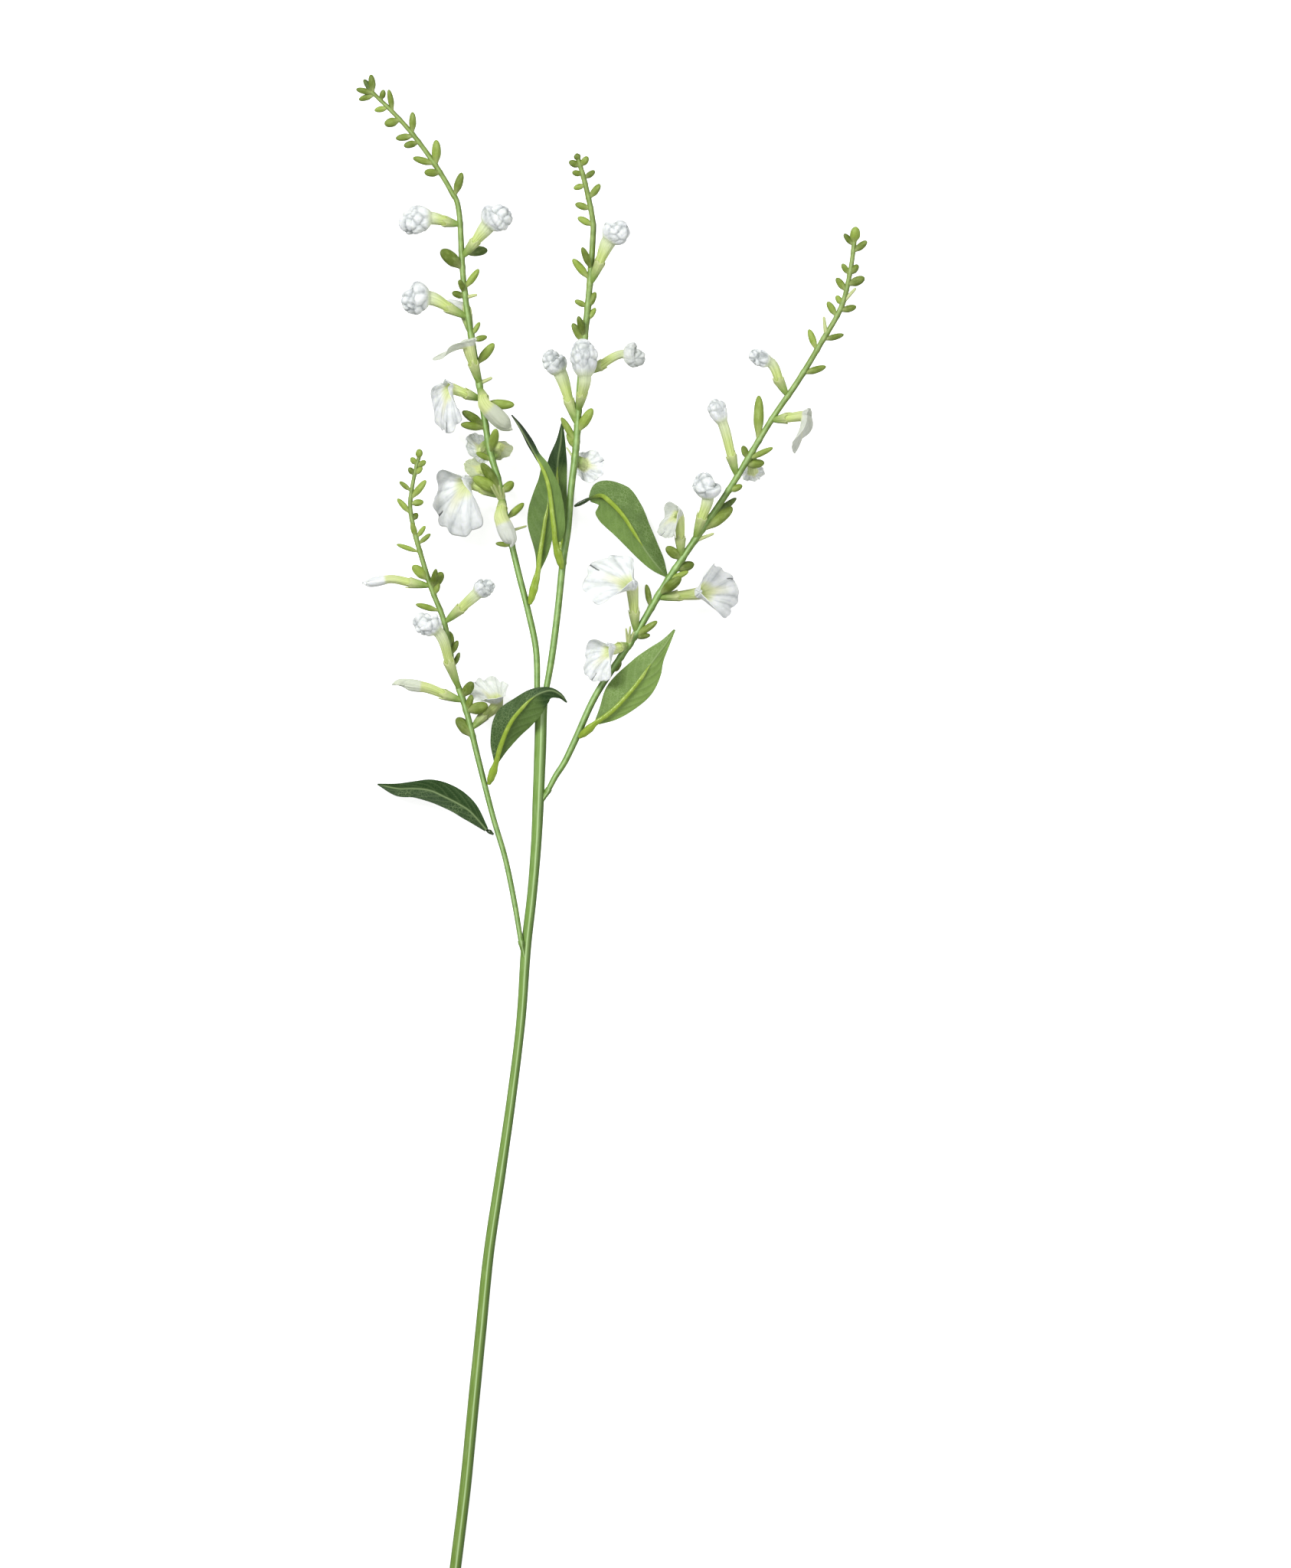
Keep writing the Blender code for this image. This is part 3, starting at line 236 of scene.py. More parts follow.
# Leaves: the ribbed side (1 up, -1 down), the slope of each half in degrees, the foot of the rib,
# the looks (how light, from below 0 for black-green to 1; how much the threads, the net and the
# side veins show; how much painted shade darkens the tip and the petiole, from 0 to 1), and the
# blade's rows x, y, z, width left and right of the midrib, roll in degrees
LEAVES = {
    "leaf_middle_low": {
        "face": 1, "fold": 32, "foot": (-24, 141, 21.8),
        "looks": (0.38, 0.35, 0.15, 0.1, 1.0, 0.0),
        "blade": (
            (-26.5, 153, 26, 1.6, 2.5, 25), (-27, 159, 28, 2.4, 5, 25),
            (-28, 167, 28.5, 2.4, 5.5, 25), (-29.5, 178.5, 28.5, 2.2, 4.8, 25),
            (-32.5, 188, 28, 2, 3.4, 30), (-36.5, 195, 27.5, 2, 2, 35),
            (-41, 203, 27.5, 2.2, 2.2, 35), (-44.5, 209, 27.5, 1.4, 1.4, 35),
            (-48, 214, 27.5, 0.4, 0.4, 35),
        ),
    },
    "leaf_left": {
        "face": 1, "fold": 22, "foot": (-39.3, 124, 19.8),
        "looks": (0.5, 0.32, 0.15, 0.1, 0.0, 0.0),
        "blade": (
            (-35.5, 139, 20, 0.8, 1, 0), (-34.5, 147.5, 20, 2.5, 4, 0), (-33, 156.5, 19.5, 7, 5, 0),
            (-32, 164, 19, 9.5, 5, 0), (-30.5, 173, 18.5, 9.5, 5, 0), (-31, 182.5, 18, 6, 4, 0),
            (-33.5, 190, 17.5, 0.6, 0.6, 0),
        ),
    },
    "leaf_middle_back": {
        "face": 1, "fold": 15, "foot": (-23.6, 141, 14.5),
        "looks": (0.25, 0.4, 0.12, 0.1, 0.4, 0.0),
        "blade": (
            (-24, 148, 12.5, 1, 1, 0), (-25, 158, 11, 5, 3.5, 0), (-26, 172, 10, 7, 4.5, 0),
            (-26.5, 184, 10, 6.5, 5, 0), (-26, 193.5, 10.5, 5, 4.5, 0),
            (-24.5, 203, 11.5, 2.5, 2.2, 0), (-24, 211.5, 12.5, 0.5, 0.5, 0),
        ),
    },
    "leaf_middle_right": {
        "face": 1, "fold": 15, "foot": (-17.6, 171, 18.3),
        "looks": (0.48, 0.65, 0.4, 0.15, 0.0, 1.0),
        "blade": (
            (-10.5, 174.5, 17.5, 1.5, 1.5, 0), (-5, 176, 17, 8, 7, 0),
            (0.5, 172, 16.5, 11.8, 10.3, 0), (6, 166, 15.8, 10.8, 10.2, 0),
            (11.5, 157.5, 14.8, 8.8, 7.8, 0), (17, 149, 13.8, 7, 5.5, 0),
            (22, 142.5, 13, 4.8, 3.5, 0), (27, 137, 12.5, 0.5, 0.5, 0),
        ),
    },
    "leaf_right": {
        "face": 1, "fold": 18, "foot": (-15.2, 59.5, 19),
        "looks": (0.72, 0.45, 0.5, 0.3, 0.0, 0.0),
        "blade": (
            (-7, 66.5, 21.5, 1.6, 1.6, 0), (0, 71.5, 23, 8, 5, 0), (6, 77.5, 24, 11, 7.5, 0),
            (12.5, 85, 24.5, 10.8, 9, 0), (18, 93, 24.5, 8.3, 7.5, 0), (22, 98.5, 24, 5.8, 4.3, 0),
            (26.5, 104.5, 23.5, 2.8, 2, 0), (30.5, 111, 23, 0.5, 0.5, 0),
        ),
    },
    "leaf_short_upper": {
        "face": 1, "fold": 20, "foot": (-59.2, 37, 17.5),
        "looks": (0.2, 0.25, 0.32, 0.15, 0.3, 0.0),
        "blade": (
            (-55.5, 47.5, 20, 1.6, 1.4, 0), (-53, 56, 22.5, 6.3, 5, 0), (-48.5, 66, 25, 9, 8.8, 0),
            (-42.5, 73.5, 26.5, 6.5, 9.5, 0), (-36.5, 79, 27.5, 4.2, 8.3, 0),
            (-29.5, 81.5, 27, 1.8, 5, 0), (-24.5, 79.5, 25, 1, 2.2, 0),
            (-21.5, 76, 22, 0.4, 0.4, 0),
        ),
    },
    "leaf_short_lower": {
        "face": -1, "fold": 22, "foot": (-57.4, 12.4, 15.3),
        "looks": (-0.2, 0.1, 0.3, 0.2, 0.0, 1.0),
        "blade": (
            (-60.5, 14.5, 15.5, 1.2, 1.2, 0), (-68, 23, 15.5, 5, 4.8, 0),
            (-74, 27, 14.5, 5.2, 6.8, 0), (-81, 30.5, 13, 5.4, 7.2, 0),
            (-88, 33.5, 11, 5.8, 5.8, 0), (-95.5, 34.5, 9, 4.8, 3.8, 0),
            (-104, 34.5, 6.5, 4, 2.6, 0), (-114, 36.5, 4, 0.4, 0.4, 0),
        ),
    },
}

# Corollas that aren't plain white: how thin and grey, and how green, from 0 to 1
PETAL_TONES = {
    "corolla_left_04": (0.35, 0.0),
    "corolla_left_05": (0.45, 0.25),
    "corolla_left_07": (0.85, 0.25),
    "corolla_left_09": (0.6, 0.7),
    "corolla_left_10": (0.2, 0.7),
    "corolla_left_12": (0.55, 0.1),
    "corolla_middle_04": (0.25, 0.0),
    "corolla_right_03": (0.6, 0.1),
    "corolla_right_06": (0.35, 0.1),
    "corolla_short_04": (0.3, 0.4),
    "corolla_short_05": (0.2, 0.1),
}
# Corollas whose lips bend less than this close in a ball
BALL_BEND = -25

# Calyxes and bosses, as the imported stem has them, in millimetres: the gap between pieces, a cup's
# depth, its inner radius, its share of the way to the throat and its longest length, the tube
# beyond it, the tube's radius at its root, and a boss's length, its share of the way into the stem
# and its collar
GAP = 0.3
CUP_DEPTH = 2.6
CUP_INNER = 2.3
CUP_SHARE = 0.5
CUP_LIMIT = 11.0
TUBE_CLEAR = 1.5
TUBE_ROOT = 2.0
BOSS_LENGTH = 9.0
BOSS_SINK = 0.6
BOSS_STEP = 0.3


def unit(vectors):
    """The vectors, each at length 1, along the last axis."""
    vectors = np.asarray(vectors, float)
    return vectors / np.maximum(np.linalg.norm(vectors, axis=-1, keepdims=True), TINY)


def ease(values, start, end):
    """0 before start, 1 after end, and 3s^2 - 2s^3 between, where s is the share of the way."""
    share = np.clip((np.asarray(values, float) - start) / (end - start), 0, 1)
    return share**2 * (3 - 2 * share)


def bell(values, centre, width):
    """A bell curve of height 1: e to the minus square of the distance to its centre over width."""
    return np.exp(-(((np.asarray(values, float) - centre) / width) ** 2))


def full_turn(count):
    """A row of angles evenly round a full turn."""
    return np.linspace(0, math.tau, count, endpoint=False)[None]


def wave(rng, count, angles, shape=np.cos):
    """The cosine, or another shape, of `count` times these angles plus a random start."""
    return shape(count * angles + rng.uniform(0, 6))


def smooth_path(points, count):
    """`count` rows spaced evenly along the Catmull-Rom curve through given rows of numbers."""
    rows = np.array(points, float)
    rows = np.vstack([2 * rows[0] - rows[1], rows, 2 * rows[-1] - rows[-2]])
    t = np.linspace(0, 1, SPAN_STEPS, endpoint=False)[:, None]
    pieces = []
    for a, b, c, d in zip(rows, rows[1:], rows[2:], rows[3:]):
        bend = (c - a) * t + (2 * a - 5 * b + 4 * c - d) * t**2 + (3 * b - a - 3 * c + d) * t**3
        pieces.append(b + bend / 2)
    dense = np.vstack([*pieces, rows[-2:-1]])
    along = distance_along(dense)
    wanted = np.linspace(0, along[-1], count)
    return np.stack([np.interp(wanted, along, column) for column in dense.T], axis=1)


def distance_along(path):
    """The distance from a path's first row to each row, by its x, y and z."""
    steps = np.linalg.norm(np.diff(path[:, :3], axis=0), axis=1)
    return np.concatenate([[0], np.cumsum(steps)])


def tangents_of(path):
    """The unit vectors along a path at its rows."""
    return unit(np.gradient(path[:, :3], axis=0))


def direction(azimuth, elevation):
    """The unit vector at these degrees in plan from +X and up from the table."""
    a, e = math.radians(azimuth), math.radians(elevation)
    return np.array([math.cos(a) * math.cos(e), math.sin(a) * math.cos(e), math.sin(e)])


def across(tangents):
    """Level vectors to the right of each tangent, and vectors square to both that point up."""
    right = unit(np.cross(tangents, [0.0, 0.0, 1.0]))
    return right, np.cross(right, tangents)


def frame_of(axis):
    """Two unit vectors square to an axis and to each other."""
    helper = [0.0, 0.0, 1.0] if abs(axis[2]) < 0.9 else [1.0, 0.0, 0.0]
    side = unit(np.cross(axis, helper))
    return side, np.cross(side, axis)


def rings_of(centres, sides, ups, turns, radii, flat=1.0):
    """Rings of points: each centre plus radius times (cosine of the turn x side + sine x up)."""
    out = (radii * np.cos(turns))[..., None] * sides[:, None]
    return centres[:, None] + out + (radii * flat * np.sin(turns))[..., None] * ups[:, None]


def stack(*layers):
    """Arrays of one shape as the x, y and z of a vector at every point."""
    return np.stack(np.broadcast_arrays(*layers), axis=-1)


def build(name, shells, material, node):
    """One piece of closed shells, riding on the stem and standing for its CAD node.

    A shell is (points, loop rows too, attributes): points is a grid of rows and columns in
    millimetres whose columns always close on themselves, and each attribute has a value or a
    vector for every point. A row that shrinks to a point is welded into a pole.
    """
    points, faces, values, start = [], [], {}, 0
    for grid, looped, attributes in shells:
        rows, columns = grid.shape[:2]
        row = np.arange(rows if looped else rows - 1)[:, None]
        column = np.arange(columns)[None]
        beside, above = (column + 1) % columns, (row + 1) % rows
        corners = ((row, column), (row, beside), (above, beside), (above, column))
        corners = np.stack([first * columns + second for first, second in corners], axis=-1)
        faces.append(corners.reshape(-1, 4) + start)
        points.append(grid.reshape(-1, 3))
        for key, value in attributes.items():
            value = np.broadcast_to(value, (rows, columns, 3)).reshape(-1, 3)
            values.setdefault(key, []).append(value)
        start += rows * columns
    mesh = bpy.data.meshes.new(name)
    faces = np.vstack(faces)
    mesh.vertices.add(start)
    mesh.vertices.foreach_set("co", (np.vstack(points) * MM).ravel())
    mesh.loops.add(faces.size)
    mesh.loops.foreach_set("vertex_index", faces.ravel())
    mesh.polygons.add(len(faces))
    mesh.polygons.foreach_set("loop_start", np.arange(0, faces.size, 4))
    for key, value in values.items():
        layer = mesh.attributes.new(key, "FLOAT_VECTOR", "POINT")
        layer.data.foreach_set("vector", np.vstack(value).ravel())
    mesh.update(calc_edges=True)
    work = bmesh.new()
    work.from_mesh(mesh)
    bmesh.ops.remove_doubles(work, verts=work.verts, dist=WELD)
    bmesh.ops.recalc_face_normals(work, faces=work.faces)
    work.to_mesh(mesh)
    work.free()
    mesh.shade_smooth()
    mesh.materials.append(material)
    piece = bpy.data.objects.new(name, mesh)
    bpy.context.scene.collection.objects.link(piece)
    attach(piece, BODY)
    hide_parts(node)


def stalk_path(stalk):
    """The evenly spaced rows x, y, z, radius of a stalk."""
    length = distance_along(np.array(STALKS[stalk]))[-1]
    return smooth_path(STALKS[stalk], round(length / STALK_STEP))


def place_on(path, along):
    """The point, radius and tangent of a path at this distance from its start."""
    reach = distance_along(path)
    point = np.array([np.interp(along, reach, column) for column in path.T])
    index = int(np.clip(np.searchsorted(reach, along, side="right"), 1, len(path) - 1))
    return point[:3], point[3], unit(path[index, :3] - path[index - 1, :3])


def round_ends(path, first, last):
    """The path with rows added past each end, whose radius closes along a quarter of an ellipse.

    `first` and `last` are the ellipse's lengths as shares of the end's radius.
    """
    turn = np.linspace(0, math.pi / 2, END_RINGS + 1)[1:, None]
    tangents = tangents_of(path)
    pieces = []
    for row, tangent, bulge in ((path[0], -tangents[0], first), (path[-1], tangents[-1], last)):
        centres = row[:3] + tangent * row[3] * bulge * np.sin(turn)
        pieces.append(np.hstack([centres, row[3] * np.cos(turn)]))
    return np.vstack([pieces[0][::-1], path, pieces[1]])


def bar_shell(path, sides, ridges, depth, hue, flat=1.0, ends=(0.6, 0.6)):
    """A round bar along a path, closed at both ends.

    Its radius is the row's times one plus `depth` times the cosine of `ridges` turns round it. Its
    colour values are the two that `hue` gives for each row and the cosine of the turn, by which the
    stem's and stalks' finishes paint shade on their right sides and a highlight line.
    """
    reach = distance_along(path)
    closed = round_ends(path, *ends)
    tangents = tangents_of(closed)
    tangents[:END_RINGS], tangents[-END_RINGS:] = tangents[END_RINGS], tangents[-END_RINGS - 1]
    right, up = across(tangents)
    turns = full_turn(sides)
    radii = closed[:, 3:4] * (1 + depth * np.cos(ridges * turns))
    grid = rings_of(closed[:, :3], right, up, turns, radii, flat)
    along, first, second = (
        np.pad(np.broadcast_to(value, reach.shape), END_RINGS, mode="edge")[:, None]
        for value in (reach, *hue)
    )
    girth = closed[:, 3:4].max()
    skin = stack(girth * np.cos(turns), girth * np.sin(turns), along)
    return grid, False, {"skin": skin, "hue": stack(first, second, np.cos(turns))}


def bud_shell(origin, axis, length, width, age, rng, sizes):
    """A closed bud on a short stalk of its own.

    Its radius is a slim stalk's, eases to full width before the middle and closes like an ellipse;
    its line bows a little and its section has five faint ridges. A bud under the prong width is a
    bare tooth instead, which tapers all the way.
    """
    prong = width <= sizes.prong_width / MM
    share = np.sin(np.linspace(0, math.pi / 2, sizes.bud_rings)) ** 1.1
    if prong:
        shape = (1.15 - 0.5 * share) * np.sqrt(np.clip(1 - ease(share, 0.86, 1.0) ** 2, 0, 1))
    else:
        waist = sizes.bud_waist
        swell = waist + (1 - waist) * ease(share, 0.04, 0.46)
        shape = swell * np.sqrt(1 - np.clip((share - 0.48) / 0.52, 0, 1) ** 2.4)
    shape[0] = 0
    side, up = frame_of(axis)
    turns = full_turn(sizes.bud_sides) + rng.uniform(0, 1)
    bow = rng.uniform(-0.05, 0.08) * length * share**2
    centres = origin + axis * (length * share)[:, None] + up * bow[:, None]
    shown = ease(share, 0.2, 0.6)[:, None]
    ridges = 0.04 * np.cos(5 * turns) * shown * (1 - ease(share, 0.8, 1.0))[:, None]
    radii = (width / 2 * shape)[:, None] * (1 + ridges)
    grid = rings_of(centres, side[None], up[None], turns, radii, 0.9)
    skin = stack(width * np.cos(turns), width * np.sin(turns), (share * length)[:, None])
    hue = stack(1.0 if prong else 0.0, age, share[:, None])
    return grid, False, {"skin": skin + rng.uniform(0, PLASTIC_SHIFT, 3), "hue": hue}


def calyx_shell(origin, axis, length, age, rng, sizes):
    """A ribbed calyx that holds a corolla.

    The wall's radius grows with the root of the height to the mouth, where it flares; ten ribs run
    up it, five uneven teeth stand on its mouth, and the inside goes down to a floor.
    """
    outer = sizes.calyx_radius / MM
    inner = outer - sizes.calyx_wall / MM
    rise = np.linspace(0, 1, CALYX_RINGS)
    wall = np.sqrt(np.clip(1 - (1 - rise) ** 3, 0, 1)) * (0.66 + 0.34 * rise**2) * outer
    wall[0] = 0
    floor = length - CUP_DEPTH
    profile = np.concatenate([wall, [inner, inner * 0.96, inner * 0.9, 0]])
    height = np.concatenate([rise * length, [length, length - CUP_DEPTH / 2, floor, floor]])
    turns = full_turn(CALYX_SIDES)
    ribs = 1 + 0.03 * np.cos(10 * turns) * ease(height, 0.1 * length, 0.5 * length)[:, None]
    teeth = (0.5 + 0.5 * wave(rng, 5, turns)) ** 2
    uneven = 0.75 + 0.45 * wave(rng, 1, turns) + 0.2 * wave(rng, 2, turns)
    teeth = teeth * (sizes.tooth_length / MM) * uneven - 0.5
    lifted = bell(height, length, 0.12 * length)[:, None] * (profile > inner * 0.93)[:, None]
    side, up = frame_of(axis)
    grid = rings_of(origin[None], side[None], up[None], turns, profile[:, None] * ribs)
    grid = grid + axis * (height[:, None] + teeth * lifted)[..., None]
    skin = stack(outer * np.cos(turns), outer * np.sin(turns), height[:, None])
    hue = stack(0.75, age, (height / length)[:, None])
    return grid, False, {"skin": skin + rng.uniform(0, PLASTIC_SHIFT, 3), "hue": hue}


def calyx_line(path, flower):
    """Where a flower's calyx leaves the stalk, its axis and its length.

    The floor of the cup stands clear of the stalk, whose side slopes away from the calyx's axis.
    """
    along, throat = flower[1], np.array(flower[2], float)
    origin, radius, tangent = place_on(path, along)
    span = float(np.linalg.norm(throat - origin))
    axis = (throat - origin) / span
    cosine = abs(float(axis @ tangent))
    clear = (radius + CUP_INNER * cosine) / math.sqrt(1 - cosine**2) + GAP
    length = max(min(span * CUP_SHARE, CUP_LIMIT), clear + CUP_DEPTH)
    return origin, axis, min(length, span - TUBE_CLEAR)


def lobe_edge(degrees):
    """How full the rim is at these degrees from the middle of the lower lip: 1 in the middle of a
    lobe and 0 in the notches at 44, 98 and 180 degrees; the root of a sine goes between them."""
    place = np.interp(degrees, (0, 44, 98, 180), (0.5, 1.0, 2.0, 3.0))
    return np.abs(np.sin(math.pi * place)) ** 0.5


def furrows(phase):
    """Narrow furrows between round ridges: 1 less the root of the size of the phase's cosine."""
    return 1 - np.sqrt(np.abs(np.cos(phase)))


def lobules(grid, centre, seeds, finer):
    """Furrows between crumpled lobes, and fainter ones between finer lobes. A lobe has the points
    nearest to one seed by their direction from the centre; a furrow is 1 less the root of how much
    farther the next seed is."""
    found = []
    for set_of_seeds in (seeds, finer):
        far = np.linalg.norm(unit(grid - centre)[:, :, None] - set_of_seeds, axis=-1)
        nearest, second = np.moveaxis(np.partition(far, 1, axis=-1)[..., :2], -1, 0)
        found.append(1 - np.sqrt(np.clip((second - nearest) / LOBE_REACH, 0, 1)))
    return np.maximum(found[0], FINER_DEPTH * found[1])


def heart_of(lips):
    """The widest ring of lips that close in a ball, and its middle."""
    widest = lips[round(WIDEST * len(lips))]
    return widest, widest.mean(axis=0)


def normals_of(grid):
    """The outward unit vectors of a grid whose columns close on themselves."""
    around = np.roll(grid, -1, axis=1) - np.roll(grid, 1, axis=1)
    return unit(np.cross(around, np.gradient(grid, axis=0)))


def tuft_shell(lips, face, seeds, finer, rng, tone):
    """The crumpled inner lobes that fill the mouth of a corolla whose lips close in a ball: a ball
    round the heart of the lips, with their furrows."""
    widest, centre = heart_of(lips)
    radius = 0.98 * np.linalg.norm(widest - centre, axis=-1).min()
    turn = np.linspace(0, math.pi, TUFT_RINGS)[:, None]
    around = full_turn(TUFT_SIDES)
    side, up = frame_of(face)
    ways = (np.sin(turn) * np.cos(around))[..., None] * side
    ways = ways + (np.sin(turn) * np.sin(around))[..., None] * up
    ways = ways - (np.cos(turn) * np.ones_like(around))[..., None] * face
    lumps = lobules(centre + ways, centre, seeds, finer)
    ahead = 1 + 0.3 * np.clip(ways @ face, 0, 1)
    grid = centre + (radius * ahead * (1 - 0.24 * lumps))[..., None] * ways
    skin = grid + rng.uniform(0, CLOTH_SHIFT, 3)
    # Painted shade: the tuft's furrows are greyed in the colour.
    return grid, False, {"hue": stack(0.0, 0.0, 1.1 * lumps), "skin": skin, "tint": (*tone, 0.0)}


def corolla_shell(path, flower, rng, sizes, tone):
    """One corolla, its lips, and the seeds of its crumpled lobes and of the finer ones.

    A tube out of the calyx opens into an upper and a lower lip. It follows a Hermite curve from the
    calyx to the throat, and its radius eases from the root's to the throat's. Each column leaves
    the throat at its own angle round it, and its lip bends evenly from the curl less to the curl
    more than its mean angle to the way the flower faces; a curl below nothing closes the lips, in a
    ball or in a long closed flower, and their rim folds inwards. The lower lip's tip is given;
    length and mean angle go over to the upper lip's at the sides. The rim has rounded lobes and a
    scallop. The cloth is pushed along its normal by gathers, sums of cosines round the throat that
    grow towards the rim, and by furrows: pleats out of the throat, or those between the crumpled
    lobes of a ball. It stays above the table.
    """
    throat, tip, faces, (upper, hood), radius, gather, bend = flower[2:]
    origin, axis, length = calyx_line(path, flower)
    throat, tip = np.array(throat, float), np.array(tip, float)
    face = direction(*faces)
    lip = unit(tip - throat - face * (face @ (tip - throat)))
    chord = tip - throat - radius * lip
    open_angle = math.atan2(chord @ lip, chord @ face)
    curl, hood = math.radians(bend), math.radians(hood)
    lower = float(np.linalg.norm(chord)) * curl / math.sin(curl)
    ball = float(ease(-bend, 22, 34))
    closed = float(ease(-bend, 5, 14)) * (1 - ball)
    smooth = (1 - 0.7 * tone[0]) * (1 - 0.6 * closed)
    ragged = (1 - 0.9 * ball) * (1 - 0.8 * closed)

    t = np.linspace(-math.pi, math.pi, sizes.columns, endpoint=False)
    angle = (t - 0.35 * np.sin(t))[None]
    start = origin + axis * (length - CUP_DEPTH + GAP)
    reach = np.linalg.norm(throat - start)
    s = np.linspace(0, 1, sizes.tube_rings)[:, None]
    pull = 0.9 * reach
    centres = start * (1 + 2 * s) * (1 - s) ** 2 + throat * s**2 * (3 - 2 * s)
    centres = centres + pull * (axis * s * (1 - s) ** 2 + face * s**2 * (s - 1))
    tangents = tangents_of(centres)
    tangents[0], tangents[-1] = axis, face
    normals = [lip]
    for tangent in tangents[-2::-1]:
        normals.insert(0, unit(normals[0] - tangent * (normals[0] @ tangent)))
    normals = np.array(normals)
    radii = TUBE_ROOT + (radius - TUBE_ROOT) * ease(s, 0.05, 1.0)
    radii = radii + 0.1 * np.cos(5 * angle) * ease(s, 0, 0.6)
    tube = rings_of(centres, normals, np.cross(tangents, normals), angle, radii)

    g = np.linspace(0, 1, sizes.lip_rings + 1)[1:, None]
    spread = (angle - gather * np.sin(angle))[0, :, None]
    outward = np.cos(spread) * lip + np.sin(spread) * np.cross(face, lip)
    degrees = np.degrees(np.abs(angle))
    mean = hood + (open_angle - hood) * ease(-degrees, -LOWER_ENDS, -58)
    full = upper + (lower - upper) * ease(-degrees, -LOWER_ENDS, -30)
    scallop = 0.025 * wave(rng, 9, angle) + 0.015 * wave(rng, 14, angle)
    edge = sizes.notch * (1 - lobe_edge(degrees)) + 0.06 * bell(degrees, 0, 6)
    full = full * (1 + 0.3 * sizes.notch - ragged * (edge * g**1.5 - scallop * g**3))
    curls = np.minimum(curl, mean)
    middle = g - g[0] / 2
    inwards = (1.5 * ball + 0.9 * closed) * ease(middle, 0.55, 1.0)
    slope = mean - curls + 2 * curls * middle - inwards
    out = full * np.cumsum(np.sin(slope), axis=0) / len(g)
    ahead = full * np.cumsum(np.cos(slope), axis=0) / len(g)
    lips = tube[-1][None] + out[..., None] * outward + ahead[..., None] * face

    grid = np.concatenate([tube, lips])
    grown = np.concatenate([0 * s, g]) * np.ones_like(angle)
    gathers = 0
    for waves, depth in GATHERS:
        phase = rng.uniform(0, math.tau) + rng.uniform(-1.2, 1.2) * grown
        gathers = gathers + depth * rng.uniform(0.7, 1.2) * np.cos(waves * angle + phase)
    warp = 0.5 * wave(rng, 2, angle, np.sin) + 0.3 * wave(rng, 5, angle, np.sin)
    rays = furrows(5.5 * angle + warp + 0.5 * wave(rng, 4, grown, np.sin))
    fine = furrows(9.5 * angle + 0.9 * wave(rng, 3, grown, np.sin) + rng.uniform(0, 3))
    pleats = (1 - ball) * np.maximum(rays, 0.6 * fine)
    counts = (sizes.lobes, 3 * sizes.lobes)
    seeds, finer = (unit(rng.normal(size=(count, 3))) for count in counts)
    lumps = ball * lobules(grid, heart_of(lips)[1], seeds, finer)
    seen = -1 if faces[1] > 5 else 1
    depth = sizes.fold_depth / MM * np.clip(full.max() / 14, 0.45, 1.2) * smooth
    push = depth * gathers * grown**1.3 * (1 - 0.4 * ball)
    push = push - depth * (1.2 * lumps + 0.45 * seen * pleats) * ease(grown, 0.02, 0.5)
    slit = np.radians(rng.uniform(12, 30) * rng.choice([-1, 1]))
    cut = bell(angle + 0.06 * np.sin(7 * grown), slit, 0.03) * ease(grown, 0.66, 0.74)
    cut = cut * (1 - ball) * (tone[0] < 0.5)
    push = push - seen * cut * 0.7
    thickness = sizes.thickness / MM
    grid = grid + push[..., None] * normals_of(grid)
    grid[..., 2] = np.maximum(grid[..., 2], thickness)
    normal = normals_of(grid) * thickness / 2
    wall = np.concatenate([grid + normal, (grid - normal)[::-1]])

    tubed = [1 - 0.4 * ease(s, 0.35, 1), 0.6 * (1 - ease(g, 0, 0.3 - 0.12 * closed))]
    ray = 0.2 + 0.32 * np.clip(np.cos(4.1 * angle), 0, 1) * (degrees < 70)
    ray = ray * (1 - 0.5 * closed)
    golden = [ease(s, 0.2, 1) * np.ones_like(angle), np.exp(-((g / ray) ** 2))]
    # Painted shade: the furrows between pleats and lobes are greyed in the colour.
    crease_shade = (lumps + 0.72 * pleats) * ease(grown, 0.02, 0.4) * smooth
    skin = stack(7 * np.cos(angle), 7 * np.sin(angle), np.concatenate([s - 1, g]) * 12)
    layers = {
        "hue": stack(np.concatenate(tubed), np.concatenate(golden) * (1 - ball), crease_shade),
        "skin": skin + rng.uniform(0, CLOTH_SHIFT, 3),
        # The tint's last part is the slit, which the finish paints dark as a shadow.
        "tint": stack(*tone, cut),
    }
    both = {key: np.concatenate([value, value[::-1]]) for key, value in layers.items()}
    return (wall, True, both), lips, seeds, finer


def midrib_of(leaf, rows):
    """A blade's evenly spaced rows, and at each the vectors to its right and up, rolled with it."""
    path = smooth_path(leaf["blade"], rows)
    right, up = across(tangents_of(path))
    cosine, sine = np.cos(np.radians(path[:, 5:6])), np.sin(np.radians(path[:, 5:6]))
    return path, cosine * right + sine * up, cosine * up - sine * right


def vein_lines(share, side):
    """How much of a side vein each point of a blade has, from 0 to 1, and how far it lies between
    two.

    Side veins leave the midrib at even steps and lean forward with the square of the way out; the
    two halves alternate.
    """
    phase = VEIN_COUNT * (share - VEIN_LEAN * np.abs(side) - VEIN_LEAN * side**2)
    phase = phase + 0.5 * (side > 0)
    between = np.abs(phase - np.round(phase)) * 2
    fades = (1 - ease(np.abs(side), 0.75, 1.0)) * ease(share, 0.04, 0.1)
    fades = fades * (1 - ease(share, 0.9, 0.98))
    return bell(between, 0, 0.16) * fades, between * fades


